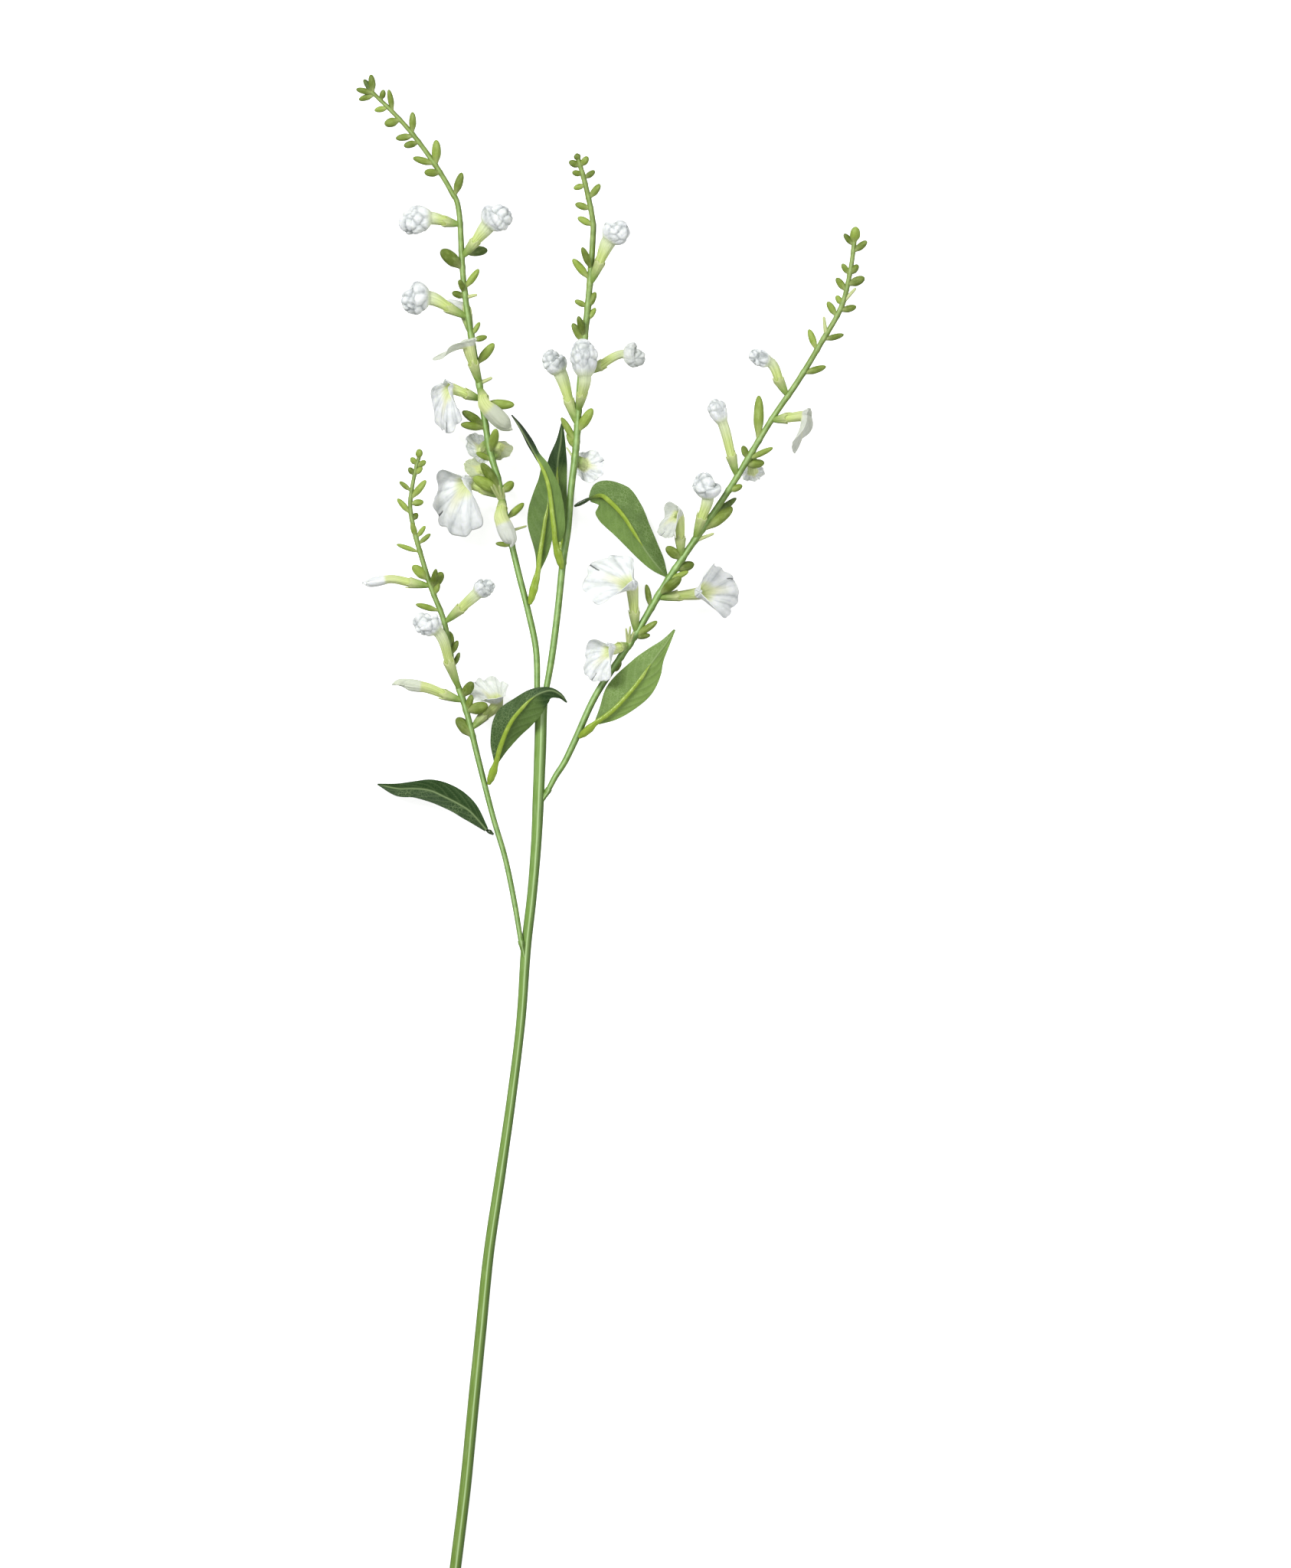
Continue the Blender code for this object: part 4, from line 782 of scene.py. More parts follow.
def blade_shell(leaf, looks, rng, sizes):
    """A pressed blade, closed round its edges.

    Each half slopes from the midrib by the fold angle, away from the ribbed side, and the edges
    wave across the blade. A ring goes out over the ribbed face and back over the plain one; the
    thickness falls to nothing at both edges, veins stand out of the ribbed face and the cloth
    swells between them on the plain one.
    """
    lightness, threads, net, veins, tip = looks
    rows, columns = sizes.blade_rows, sizes.blade_columns
    path, right, up = midrib_of(leaf, rows)
    path[:, 3:5] = np.maximum(path[:, 3:5], 0.25)
    share = np.linspace(0, 1, rows)[:, None]
    turn = full_turn(columns)
    side = -np.cos(turn)
    ribbed = np.sign(np.sin(turn).round(9))
    width = np.where(side > 0, path[:, 4:5], path[:, 3:4]) * np.abs(side)
    slope = math.radians(leaf["fold"])
    edge = side * np.abs(side)
    wavy = 0.5 * np.sin(math.tau * 2.5 * share) * np.sin(math.pi * share) * edge
    ripple = 0.2 * np.sin(math.tau * 6 * share + 2 * side) * np.sin(math.pi * share) * side**4
    vein, between = vein_lines(share, side)
    midline = bell(width, 0, 0.45) * (1 - ease(share, 0.9, 1))
    swell = sizes.quilting / MM * between * (1 - side**4) * np.minimum(width / 4, 1)
    swell = swell * (0.4 + 0.6 * veins)
    relief = sizes.vein_height / MM * np.maximum(vein * veins, 1.4 * midline)
    relief = relief * np.minimum(width / 1.5 + midline, 1)
    half = sizes.blade_thickness / MM / 2 * np.clip(1 - side**2, 0, 1) ** 0.4
    plain = -leaf["face"]
    height = plain * width * math.sin(slope) + wavy + ripple + plain * swell
    height = height - plain * (ribbed * half + np.where(ribbed > 0, 1, 0.6 * (ribbed < 0)) * relief)
    grid = path[:, None, :3] + right[:, None] * (width * math.cos(slope) * np.sign(side))[..., None]
    grid = grid + up[:, None] * height[..., None]
    poles = grid[[0, -1]].mean(axis=1, keepdims=True) + 0 * grid[[0, -1]]
    grid = np.concatenate([poles[:1], grid, poles[1:]])
    length = distance_along(path)[-1]
    # Painted shade: the tip darkens towards black-green.
    dull = tip * ease(share, 0.6, 0.78)
    # Painted light and shade: one half of the blade is lighter than the other.
    shown = (lightness + 0.12 * np.sign(side)) * (1 - dull) - dull
    skin = stack(width * np.sign(side), share * length, 40.0 + 6 * ribbed)
    layers = {
        "skin": skin + rng.uniform(0, CLOTH_SHIFT, 3),
        "hue": stack((ribbed > 0) * 1.0, np.maximum(vein * 0.8 * veins, 0.5 * midline), shown),
        "tint": stack(threads * (1 - dull), net * (1.0 - 0.6 * (side > 0)) * (1 - dull), 0),
    }
    both_ends = [0, *range(rows), rows - 1]
    layers = {key: np.broadcast_to(value, (rows, columns, 3)) for key, value in layers.items()}
    return grid, False, {key: value[both_ends] for key, value in layers.items()}


def rib_shell(leaf, dark, sizes):
    """The moulded rib and petiole of a leaf: from its sleeve at the stalk, along the ribbed face of
    the midrib, to a point that sinks into the blade."""
    path, _, up = midrib_of(leaf, RIB_ROWS)
    kept = RIB_KEPT
    radii = np.linspace(*RIB_RADII, kept)
    rest = np.linspace(0.35, 0.1, kept)[:, None]
    along = path[:kept, :3] + leaf["face"] * up[:kept] * (rest + 0.75 * radii[:, None])
    foot = np.array(leaf["foot"], float)
    knee = (foot + along[0]) / 2
    line = np.vstack([[*foot, 1.5], [*knee, 2.0], np.column_stack([along, radii])])
    line = smooth_path(line, sizes.rib_rings)
    share = np.linspace(0, 1, len(line))
    line[:, 3] *= (1 - 0.9 * ease(share, 0.8, 1.0)) * (0.7 + 0.3 * ease(share, 0, 0.05))
    line[:, 3] *= 1 + 0.04 * np.sin(share * 60) * (share < 0.3)
    line[:, 3] *= 1 - 0.45 * dark * (1 - ease(share, 0.1, 0.4))
    line[:, 2] -= leaf["face"] * 0.3 * ease(share, 0.85, 1.0)
    # Painted shade: a dark petiole goes dark green towards the stalk.
    hue = (share, dark * (1 - ease(share, 0.12, 0.36)))
    return bar_shell(line, RIB_SIDES, 3, 0.05, hue, flat=0.85, ends=(0.8, 2.0))


def stem_shells(sizes):
    """The main stem, and the two bosses that side stalks stand on.

    The stem is a bar whose radius is the table's, with shallow ridges and a collar at the fork.
    A boss starts inside the stem and follows the line of its stalk to just under the foot.
    """
    path = smooth_path(STEM, sizes.rows)
    reach = distance_along(path)
    rng = np.random.default_rng(SEEDS["stem"])
    uneven = sum(wave(rng, 1, reach / spacing) for spacing in STEM_WAVES) / len(STEM_WAVES)
    path[:, 3] *= 1 + 0.018 * uneven + 0.08 * bell(reach, reach[-1], 3.5)
    hue = (reach / reach[-1], 0)
    shells = [bar_shell(path, sizes.sides, 5, sizes.ridge_depth, hue, ends=(0.03, 0.35))]
    for stalk in ("spike_right", "spike_short"):
        foot, radius, tangent = place_on(stalk_path(stalk), 0)
        top = foot - tangent * GAP / 2
        low = top - tangent * BOSS_LENGTH
        centre = np.array([np.interp(low[1], path[:, 1], column) for column in path.T[:3]])
        low = low + (centre - low) * BOSS_SINK
        wide = radius + BOSS_STEP
        rows = (
            (*low, 0.8 * radius),
            (*(low + (top - low) * 0.5), 1.0 * radius),
            (*(top - tangent * 2.4), 1.05 * radius),
            (*(top - tangent * 1.6), wide),
            (*top, wide),
        )
        share = float(np.interp(top[1], path[:, 1], reach)) / reach[-1]
        boss = smooth_path(rows, BOSS_RINGS)
        shells.append(bar_shell(boss, BOSS_SIDES, 4, 0.012, (share, 0), ends=(0.4, 0.12)))
    return shells


def spike_shells(stalk, index, sizes):
    """A stalk with its buds and calyxes.

    The stalk is a bar that swells where a bud or a calyx leaves it; its foot runs on into the stem.
    """
    rng = np.random.default_rng(SEEDS["spikes"] + index)
    path = stalk_path(stalk)
    start = path[0].copy()
    start[:3] -= unit(path[1, :3] - path[0, :3]) * sizes.foot_length / MM
    bar = smooth_path(np.vstack([start, path]), len(path) * 2)
    reach = distance_along(bar)
    places = [row[0] for row in BUDS[stalk]] + [row[1] for row in FLOWERS[stalk]]
    swell = sum(bell(reach, place + sizes.foot_length / MM + 0.6, 1.1) for place in places)
    bar[:, 3] *= 1 + sizes.swelling * np.clip(swell, 0, 1.2)
    hue = (0.35, 0.3 + 0.4 * reach / reach[-1])
    shells = [bar_shell(bar, sizes.stalk_sides, 4, 0.035, hue, ends=(0.3, 0.9))]
    for along, side, lean, length, width in BUDS[stalk]:
        origin, _, tangent = place_on(path, along)
        right, up = across(tangent)
        turn, tilt = math.radians(side), math.radians(lean)
        away = math.cos(turn) * right + math.sin(turn) * up
        axis = math.cos(tilt) * tangent + math.sin(tilt) * away
        # Buds under their stalk get painted shade: it lifts their age past 1, where the finish
        # paints them dark.
        age = rng.uniform(0, 1) + sizes.under_stalk_shade * (-60 < side < -30)
        shells.append(bud_shell(origin, axis, length, width, age, rng, sizes))
    for flower in FLOWERS[stalk]:
        shells.append(calyx_shell(*calyx_line(path, flower), rng.uniform(0, 1), rng, sizes))
    return shells


def add(tree, kind, values=(), **settings):
    """A new node with these settings, and a value or a link for each named or numbered input."""
    node = tree.nodes.new(kind)
    for key, value in settings.items():
        setattr(node, key, value)
    for key, value in dict(values).items():
        if isinstance(value, bpy.types.NodeSocket):
            tree.links.new(value, node.inputs[key])
        else:
            node.inputs[key].default_value = value
    return node


def maths(tree, operation, *numbers):
    """One arithmetic step on two values, or three."""
    return add(tree, "ShaderNodeMath", dict(enumerate(numbers)), operation=operation).outputs[0]


def summed(tree, first, *terms):
    """The first value plus each term: a value and how many times it counts."""
    for value, times in terms:
        first = maths(tree, "ADD", first, maths(tree, "MULTIPLY", value, times))
    return first


def blend(tree, factor, *colours):
    """The first colour mixed with the second by this factor."""
    first, second = (
        colour if isinstance(colour, bpy.types.NodeSocket) else (*colour, 1) for colour in colours
    )
    values = {0: factor, 6: first, 7: second}
    return add(tree, "ShaderNodeMix", values, data_type="RGBA").outputs[2]


def levels(tree, value, low, high, start=0.0, end=1.0):
    """The value carried from low..high to start..end, and held there outside."""
    values = {"Value": value, "From Min": low, "From Max": high, "To Min": start, "To Max": end}
    return add(tree, "ShaderNodeMapRange", values).outputs[0]


def layered(tree, base, *layers):
    """A colour under layers: each has a value, its levels, which say how much it covers, and its
    colour."""
    for value, *limits, colour in layers:
        base = blend(tree, levels(tree, value, *limits), base, colour)
    return base


def noise(tree, position, scale, detail=3.0, roughness=0.5, distortion=0.0):
    """A cloudy value over the position."""
    values = {"Vector": position, "Scale": scale, "Detail": detail, "Roughness": roughness}
    return add(tree, "ShaderNodeTexNoise", {**values, "Distortion": distortion}).outputs["Fac"]


def stretched(tree, position, scale):
    """The position with each of its parts times its own number."""
    return add(tree, "ShaderNodeMapping", {"Vector": position, "Scale": scale}).outputs[0]


def parts_of(tree, vector):
    """The three numbers of a vector."""
    return add(tree, "ShaderNodeSeparateXYZ", {0: vector}).outputs


def new_group(name, outputs, **inputs):
    """An empty node group that takes a skin and these inputs, its given values and its results."""
    group = bpy.data.node_groups.new(name, "ShaderNodeTree")
    group.interface.new_socket("Skin", in_out="INPUT", socket_type="NodeSocketVector")
    for label, value in inputs.items():
        item = group.interface.new_socket(label, in_out="INPUT", socket_type="NodeSocketFloat")
        item.default_value = value
    for label in outputs:
        group.interface.new_socket(label, in_out="OUTPUT", socket_type="NodeSocketFloat")
    given, made = group.nodes.new("NodeGroupInput"), group.nodes.new("NodeGroupOutput")
    return group, given.outputs, made.inputs


def moulded_group():
    """Moulded plastic: streaks along the part, soft mottling and a fine grain, each from 0 to 1."""
    outputs = ("Streak", "Mottle", "Grain")
    group, given, made = new_group("moulded plastic", outputs, Streaks=1.6, Mottling=0.35)
    skin = given["Skin"]
    streak = noise(group, stretched(group, skin, (1, 1, 0.07)), given["Streaks"], 4.0, 0.6, 0.4)
    mottle = noise(group, skin, given["Mottling"], 4.0, 0.55)
    group.links.new(levels(group, streak, 0.32, 0.68), made["Streak"])
    group.links.new(levels(group, mottle, 0.32, 0.68), made["Mottle"])
    group.links.new(noise(group, skin, 7.0, 2.0), made["Grain"])
    return group


def woven_group():
    """Plain weave: threads both ways over the skin's x and y, uneven by a cloudy value.

    The weave is half of one plus the product of the cosines of x and y times the thread count.
    """
    outputs = ("Weave", "Slub")
    group, given, made = new_group("woven cloth", outputs, Threads=4.0, Unevenness=0.25)
    skin = given["Skin"]
    moved = maths(group, "MULTIPLY", noise(group, skin, 0.8), given["Unevenness"])
    spacing = maths(group, "MULTIPLY", given["Threads"], math.pi)
    waves = [
        maths(group, "COSINE", maths(group, "MULTIPLY", maths(group, "ADD", part, moved), spacing))
        for part in list(parts_of(group, skin))[:2]
    ]
    weave = maths(group, "MULTIPLY_ADD", maths(group, "MULTIPLY", *waves), 0.5, 0.5)
    slub = noise(group, stretched(group, skin, (6.0, 0.7, 1.0)), 1.0, 2.0)
    group.links.new(weave, made["Weave"])
    group.links.new(levels(group, slub, 0.3, 0.7), made["Slub"])
    return group


GROUPS = {"moulded plastic": moulded_group, "woven cloth": woven_group}


def use(tree, name, skin, **values):
    """The outputs of the node group of this name, made on its first use, with these values."""
    group = bpy.data.node_groups.get(name) or GROUPS[name]()
    return add(tree, "ShaderNodeGroup", {"Skin": skin, **values}, node_tree=group).outputs


def new_material(name):
    """An empty material: it, its tree, its shader, its skin, and the parts of its hue and tint."""
    material = bpy.data.materials.new(name)
    material.use_nodes = True
    tree = material.node_tree
    skin, hue, tint = (
        add(tree, "ShaderNodeAttribute", attribute_name=label).outputs["Vector"]
        for label in ("skin", "hue", "tint")
    )
    shader = tree.nodes["Principled BSDF"]
    return material, tree, shader, skin, parts_of(tree, hue), parts_of(tree, tint)


def finish(tree, shader, colour, roughness, height, distance, strength, **constants):
    """Feeds a shader its colour, its roughness, a bump from this height and its constants."""
    values = {"Height": height, "Distance": distance, "Strength": strength}
    bump = add(tree, "ShaderNodeBump", values).outputs[0]
    for key, socket in (("Base Color", colour), ("Roughness", roughness), ("Normal", bump)):
        tree.links.new(socket, shader.inputs[key])
    for key, value in constants.items():
        shader.inputs[key.replace("_", " ")].default_value = value


def painted_highlight_line(tree, right, place, core, width, most):
    """A painted highlight: a pale line along a bar, strongest within the core and gone at its
    width, by the cosine of the turn round the bar."""
    off = maths(tree, "ABSOLUTE", maths(tree, "SUBTRACT", right, place))
    return levels(tree, off, core, width, most, 0)


def stem_material(colours):
    """Glossy moulded green: mint towards the fork and leafier towards the cut end, with painted
    shade on its right side and a painted highlight line over its top.
    """
    material, tree, shader, skin, (along, _, right), _ = new_material("main stem green")
    grain = use(tree, "moulded plastic", skin, Streaks=1.3, Mottling=0.09)
    base = layered(
        tree,
        colours.lower,
        (along, 0.25, 0.8, 0, 1, colours.upper),
        (grain["Mottle"], 0, 1, 0, 0.25, colours.dark),
        (grain["Streak"], 0.35, 1, 0, 0.22, colours.light),
        # Painted shade: the stem's right side goes darker, by the cosine of the turn round it.
        (right, 0.15, 0.8, 0, 0.85, colours.dark),
    )
    # Painted highlight: a pale line along the stem, over its top.
    base = blend(tree, painted_highlight_line(tree, right, 0.1, 0.05, 0.2, 0.75), base, colours.light)
    roughness = levels(tree, grain["Mottle"], 0, 1, 0.3, 0.45)
    height = summed(tree, grain["Streak"], (grain["Grain"], 0.25))
    finish(tree, shader, base, roughness, height, 0.00025, 0.5, Coat_Weight=0.25)
    return material


def spike_material(colours):
    """Moulded stalks, buds, calyxes and teeth, each its own green by the first part of its hue,
    with painted shade on the stalks' right sides and on buds under them, and a painted highlight
    line along each stalk.
    """
    material, tree, shader, skin, (kind, age, end), _ = new_material("spike green")
    grain = use(tree, "moulded plastic", skin, Streaks=1.5, Mottling=0.3)
    bud = layered(
        tree,
        colours.bud,
        (age, 0.15, 0.9, 0, 1, colours.bud_dark),
        # Painted shade: buds under their stalk, with an age over 1, go dark.
        (age, 1.0, 1.5, 0, 1, colours.dark),
        (end, 0.1, 0.45, 0.5, 0, colours.tooth),
    )
    stalk = layered(
        tree,
        colours.stalk,
        (age, 0.42, 0.7, 0, 0.8, colours.stalk_tip),
        (grain["Streak"], 0.35, 0.9, 0, 0.35, colours.stalk_light),
        # Painted shade: the stalk's right side goes darker.
        (end, 0.1, 0.8, 0, 0.6, colours.dark),
    )
    # Painted highlight: a pale line along each stalk, a little left of its top, fading towards the
    # tips.
    gloss = painted_highlight_line(tree, end, -0.2, 0.1, 0.45, 0.8)
    gloss = maths(tree, "MULTIPLY", gloss, levels(tree, age, 0.4, 0.65, 1, 0.25))
    stalk = blend(tree, gloss, stalk, colours.stalk_light)
    calyx = layered(tree, colours.calyx, (end, 0.35, 1.0, 0, 1, colours.tooth))
    base = layered(
        tree,
        bud,
        (kind, 0.0, 0.3, 0, 1, stalk),
        (kind, 0.36, 0.7, 0, 1, calyx),
        (kind, 0.78, 1.0, 0, 1, colours.tooth),
        (grain["Mottle"], 0.3, 1, 0, 0.22, colours.dark),
        (grain["Mottle"], 0.6, 0, 0, 0.22, colours.light),
    )
    roughness = levels(tree, grain["Mottle"], 0, 1, 0.32, 0.5)
    height = summed(tree, grain["Streak"], (grain["Grain"], 0.3))
    under = {"Subsurface_Weight": 0.08, "Subsurface_Radius": (0.001, 0.002, 0.0005)}
    finish(tree, shader, base, roughness, height, 0.0003, 0.5, **under)
    return material


def petal_material(colours):
    """Thin white cloth, greyer where it is thin and with painted shade in its furrows, with a lime
    tube and throat and a faint painted glow of its own colour.

    The hue's parts are the tube, the throat's rays and the painted shade of the furrows. The tint's
    parts are how thin and grey a corolla is, how green, and where its slit lies, painted dark as a
    shadow.
    """
    material, tree, shader, skin, (tube, golden, crease_shade), tint = new_material("petal white")
    cloth = use(tree, "woven cloth", skin, Threads=5.0, Unevenness=0.5)
    grain = use(tree, "moulded plastic", skin, Streaks=0.9, Mottling=0.28)
    values = {"Vector": skin, "Scale": 0.5, "Detail": 1.0}
    crumple = add(tree, "ShaderNodeTexVoronoi", values, feature="SMOOTH_F1").outputs
    facet = parts_of(tree, crumple["Color"])[0]
    # The furrows' painted shade, with streaks and crumpled facets, greys the cloth.
    shade = summed(tree, crease_shade, (grain["Streak"], 0.2), (levels(tree, facet, 0.35, 0.9), 0.25))
    base = layered(
        tree,
        colours.petal,
        (shade, 0.25, 1.1, 0, 1, colours.crease_shade),
        (grain["Mottle"], 0.55, 1, 0, 0.5, colours.clear),
        (tint[0], 0, 1, 0, 0.9, colours.thin),
        (tint[1], 0, 1, 0, 0.9, colours.green),
        (golden, 0.1, 0.95, 0, 0.6, colours.throat),
    )
    streaked = layered(tree, colours.tube, (grain["Streak"], 0.3, 0.9, 0, 1, colours.tube_dark))
    base = blend(tree, tube, base, streaked)
    # Painted shadow: the slit in a lower lip goes dark.
    base = layered(tree, base, (tint[2], 0.2, 0.8, 0, 1, colours.slit))
    roughness = levels(tree, cloth["Slub"], 0, 1, 0.55, 0.7)
    height = summed(tree, cloth["Weave"], (grain["Streak"], 1.5), (crumple["Distance"], -4.0))
    # Painted glow: the petals give off a faint light of their own colour, beside their real
    # translucency.
    glow = {"Emission_Strength": 0.12, "Subsurface_Weight": 0.6}
    glow["Subsurface_Radius"] = (0.003, 0.003, 0.0025)
    finish(tree, shader, base, roughness, height, 0.00015, 0.5, **glow)
    tree.links.new(base, shader.inputs["Emission Color"])
    return material


def leaf_material(colours):
    """Pressed woven leaf: green cloth with pale threads, a soft net and pale veins.

    The hue's parts are the ribbed side, the veins and how light the leaf is, with the painted
    shade of its dark tip and of its darker half in it. The tint's parts are how much the threads
    and the net show.
    """
    material, tree, shader, skin, (_, vein, light), tint = new_material("leaf green")
    cloth = use(tree, "woven cloth", skin, Threads=3.2, Unevenness=0.8)
    grain = use(tree, "moulded plastic", skin, Streaks=0.5, Mottling=0.16)
    values = {"Vector": skin, "Scale": 0.75}
    cells = add(tree, "ShaderNodeTexVoronoi", values, feature="DISTANCE_TO_EDGE").outputs
    lace = levels(tree, cells["Distance"], 0.0, 0.09, 1.0, 0.0)
    base = layered(
        tree,
        blend(tree, light, colours.dark, colours.light),
        (grain["Mottle"], 0.3, 1, 0, 0.18, colours.shade),
        # Painted shade: below 0 the leaf goes to the shade colour, as at its dark tip.
        (light, 0, -1, 0, 1, colours.shade),
    )
    crossings = levels(tree, cloth["Weave"], 0.45, 1.0)
    speck = maths(tree, "MULTIPLY", crossings, levels(tree, grain["Grain"], 0.35, 0.65))
    base = blend(tree, maths(tree, "MULTIPLY", speck, tint[0]), base, colours.thread)
    patchy = levels(tree, grain["Mottle"], 0.7, 0.2, 0.3, 1)
    lines = maths(tree, "MULTIPLY", maths(tree, "MULTIPLY", lace, tint[1]), patchy)
    base = blend(tree, maths(tree, "MAXIMUM", lines, vein), base, colours.vein)
    roughness = levels(tree, cloth["Weave"], 0, 1, 0.45, 0.7)
    height = summed(tree, cloth["Weave"], (lace, -0.4))
    finish(tree, shader, base, roughness, height, 0.0002, 0.3, Specular_IOR_Level=0.3)
    return material


def rib_material(colours):
    """Glossy lime ribs and petioles, some with painted shade that turns them dark green towards the
    stalk.
    """
    material, tree, shader, skin, (_, foot, _), _ = new_material("rib lime")
    grain = use(tree, "moulded plastic", skin, Streaks=1.8, Mottling=0.2)
    base = layered(
        tree,
        colours.rib,
        (grain["Streak"], 0.3, 1, 0, 0.7, colours.rib_dark),
        (grain["Mottle"], 0.5, 1, 0, 0.5, colours.rib_light),
    )
    # Painted shade on the dark petioles
    base = blend(tree, foot, base, colours.petiole_shade)
    roughness = levels(tree, grain["Mottle"], 0, 1, 0.24, 0.38)
    finish(tree, shader, base, roughness, grain["Streak"], 0.0002, 0.4, Coat_Weight=0.3)
    return material


def floor_material(colours):
    """A plain pale floor: white where the camera sees it, duller in the light it throws back."""
    material = bpy.data.materials.new("pale floor")
    material.use_nodes = True
    tree = material.node_tree
    shader = tree.nodes["Principled BSDF"].inputs
    seen = tree.nodes.new("ShaderNodeLightPath").outputs["Is Camera Ray"]
    tree.links.new(blend(tree, seen, colours.bounce, colours.floor), shader["Base Color"])
    tree.links.new(blend(tree, seen, (0, 0, 0), colours.glow), shader["Emission Color"])
    shader["Emission Strength"].default_value = 1.0
    shader["Roughness"].default_value = 0.9
    shader["Specular IOR Level"].default_value = 0.1
    return material


def length(name, default, text):
    """A length that the user can change."""
    return bpy.props.FloatProperty(
        name=name, description=text, default=default, min=0, unit="LENGTH"
    )


def count(name, default, text):
    """A count that the user can change."""
    return bpy.props.IntProperty(name=name, description=text, default=default, min=3)


def number(name, default, text, subtype="FACTOR"):
    """A share, or a value of another kind, that the user can change."""
    return bpy.props.FloatProperty(name=name, description=text, default=default, subtype=subtype)


def colour(name, shown, text):
    """A colour that the user can change, from display values up to 255 or from one linear grey."""
    linear = (shown,) * 3 if isinstance(shown, float) else [(part / 255) ** 2.2 for part in shown]
    return bpy.props.FloatVectorProperty(
        name=name,
        description="Colour of the " + text,
        default=linear,
        subtype="COLOR",
        min=0,
        max=1,
    )


def group(kind, name, text):
    """A group of settings."""
    return bpy.props.PointerProperty(type=kind, name=name, description=text)


class StemLook(bpy.types.PropertyGroup):
    """The main stem's sizes and colours."""

    rows: count("Rows", 300, "Rings along the stem")
    sides: count("Sides", 30, "Points round the stem")
    ridge_depth: number("Ridge depth", 0.02, "Height of the ridges as a share of the radius")
    upper: colour("Upper green", (128, 168, 76), "stem towards the fork")
    lower: colour("Lower green", (128, 162, 66), "stem towards the cut end")
    # The dark colour serves the random duller patches and also the painted shade on the stem's
    # right side.
    dark: colour("Dark patches", (84, 114, 46), "duller patches and the painted shade on its right side")
    # The light colour serves the streaks and also the stem's painted highlight line.
    light: colour("Light streaks and painted highlight", (204, 234, 170), "streaks")


class SpikeLook(bpy.types.PropertyGroup):
    """The spikes' sizes and colours."""

    stalk_sides: count("Stalk sides", 16, "Points round a stalk")
    swelling: number("Swelling", 0.12, "How much a stalk swells where a bud leaves it")
    foot_length: length("Foot", 0.0022, "How far a stalk runs on into the stem")
    bud_rings: count("Bud rings", 16, "Rings along a bud")
    bud_sides: count("Bud sides", 14, "Points round a bud")
    bud_waist: number("Bud waist", 0.36, "Width of a bud's stalk as a share of its own")
    # Painted shade on buds that hang under their stalk
    under_stalk_shade: number("Shade under stalk", 0.9, "How much painted shade darkens buds under their stalk")
    prong_width: length("Tooth width", 0.0025, "Buds up to this width are bare teeth")
    calyx_radius: length("Calyx radius", 0.0028, "Radius of a calyx at its mouth")
    calyx_wall: length("Calyx wall", 0.00035, "Thickness of a calyx at its mouth")
    tooth_length: length("Calyx teeth", 0.0023, "Height of the teeth on a calyx")
    stalk: colour("Stalk", (124, 166, 74), "stalks")
    # The stalk streak colour serves the streaks and also the stalks' painted highlight line.
    stalk_light: colour("Stalk streaks and painted highlight", (186, 222, 154), "streaks and the painted highlight on a stalk")
    stalk_tip: colour("Stalk tip", (142, 154, 72), "stalks towards their tips")
    bud: colour("Bud", (158, 182, 76), "light buds")
    bud_dark: colour("Dark bud", (104, 124, 38), "dark buds")
    calyx: colour("Calyx", (140, 170, 82), "calyxes")
    tooth: colour("Tooth", (212, 222, 156), "teeth and the calyx mouths")
    # The dark colour serves random dark patches and also the painted shade on the stalks' right
    # sides and on buds under them.
    dark: colour("Dark patches", (84, 108, 40), "dark patches and painted shade")
    light: colour("Light patches", (190, 212, 132), "light patches")


class CorollaLook(bpy.types.PropertyGroup):
    """The corollas' sizes and colours."""

    columns: count("Columns", 120, "Points round a corolla")
    tube_rings: count("Tube rings", 9, "Rings along a tube")
    lip_rings: count("Lip rings", 26, "Rings from the throat to the rim")
    lobes: count("Lobes", 22, "Crumpled lobes round a corolla that closes in a ball")
    thickness: length("Thickness", 0.00026, "Thickness of the cloth")
    fold_depth: length("Fold depth", 0.001, "Depth of the folds at the rim")
    notch: number("Notches", 0.16, "Depth of the notches between lobes, a share of their length")
    petal: colour("Petal", (242, 245, 245), "petals")
    # Painted shade in the furrows
    crease_shade: colour("Crease", (178, 184, 184), "furrows")
    clear: colour("Thin patches", (214, 220, 214), "patches where the cloth is thin")
    thin: colour("Thin corolla", (190, 194, 178), "thinnest corollas")
    green: colour("Green corolla", (178, 192, 126), "greenest corollas")
    throat: colour("Throat", (216, 216, 146), "rays in the throat")
    tube: colour("Tube", (214, 228, 150), "tube")
    tube_dark: colour("Tube streaks", (176, 196, 104), "tube's streaks")
    # Painted shadow in the slit of a lower lip
    slit: colour("Slit", (84, 88, 88), "slit in a lower lip")


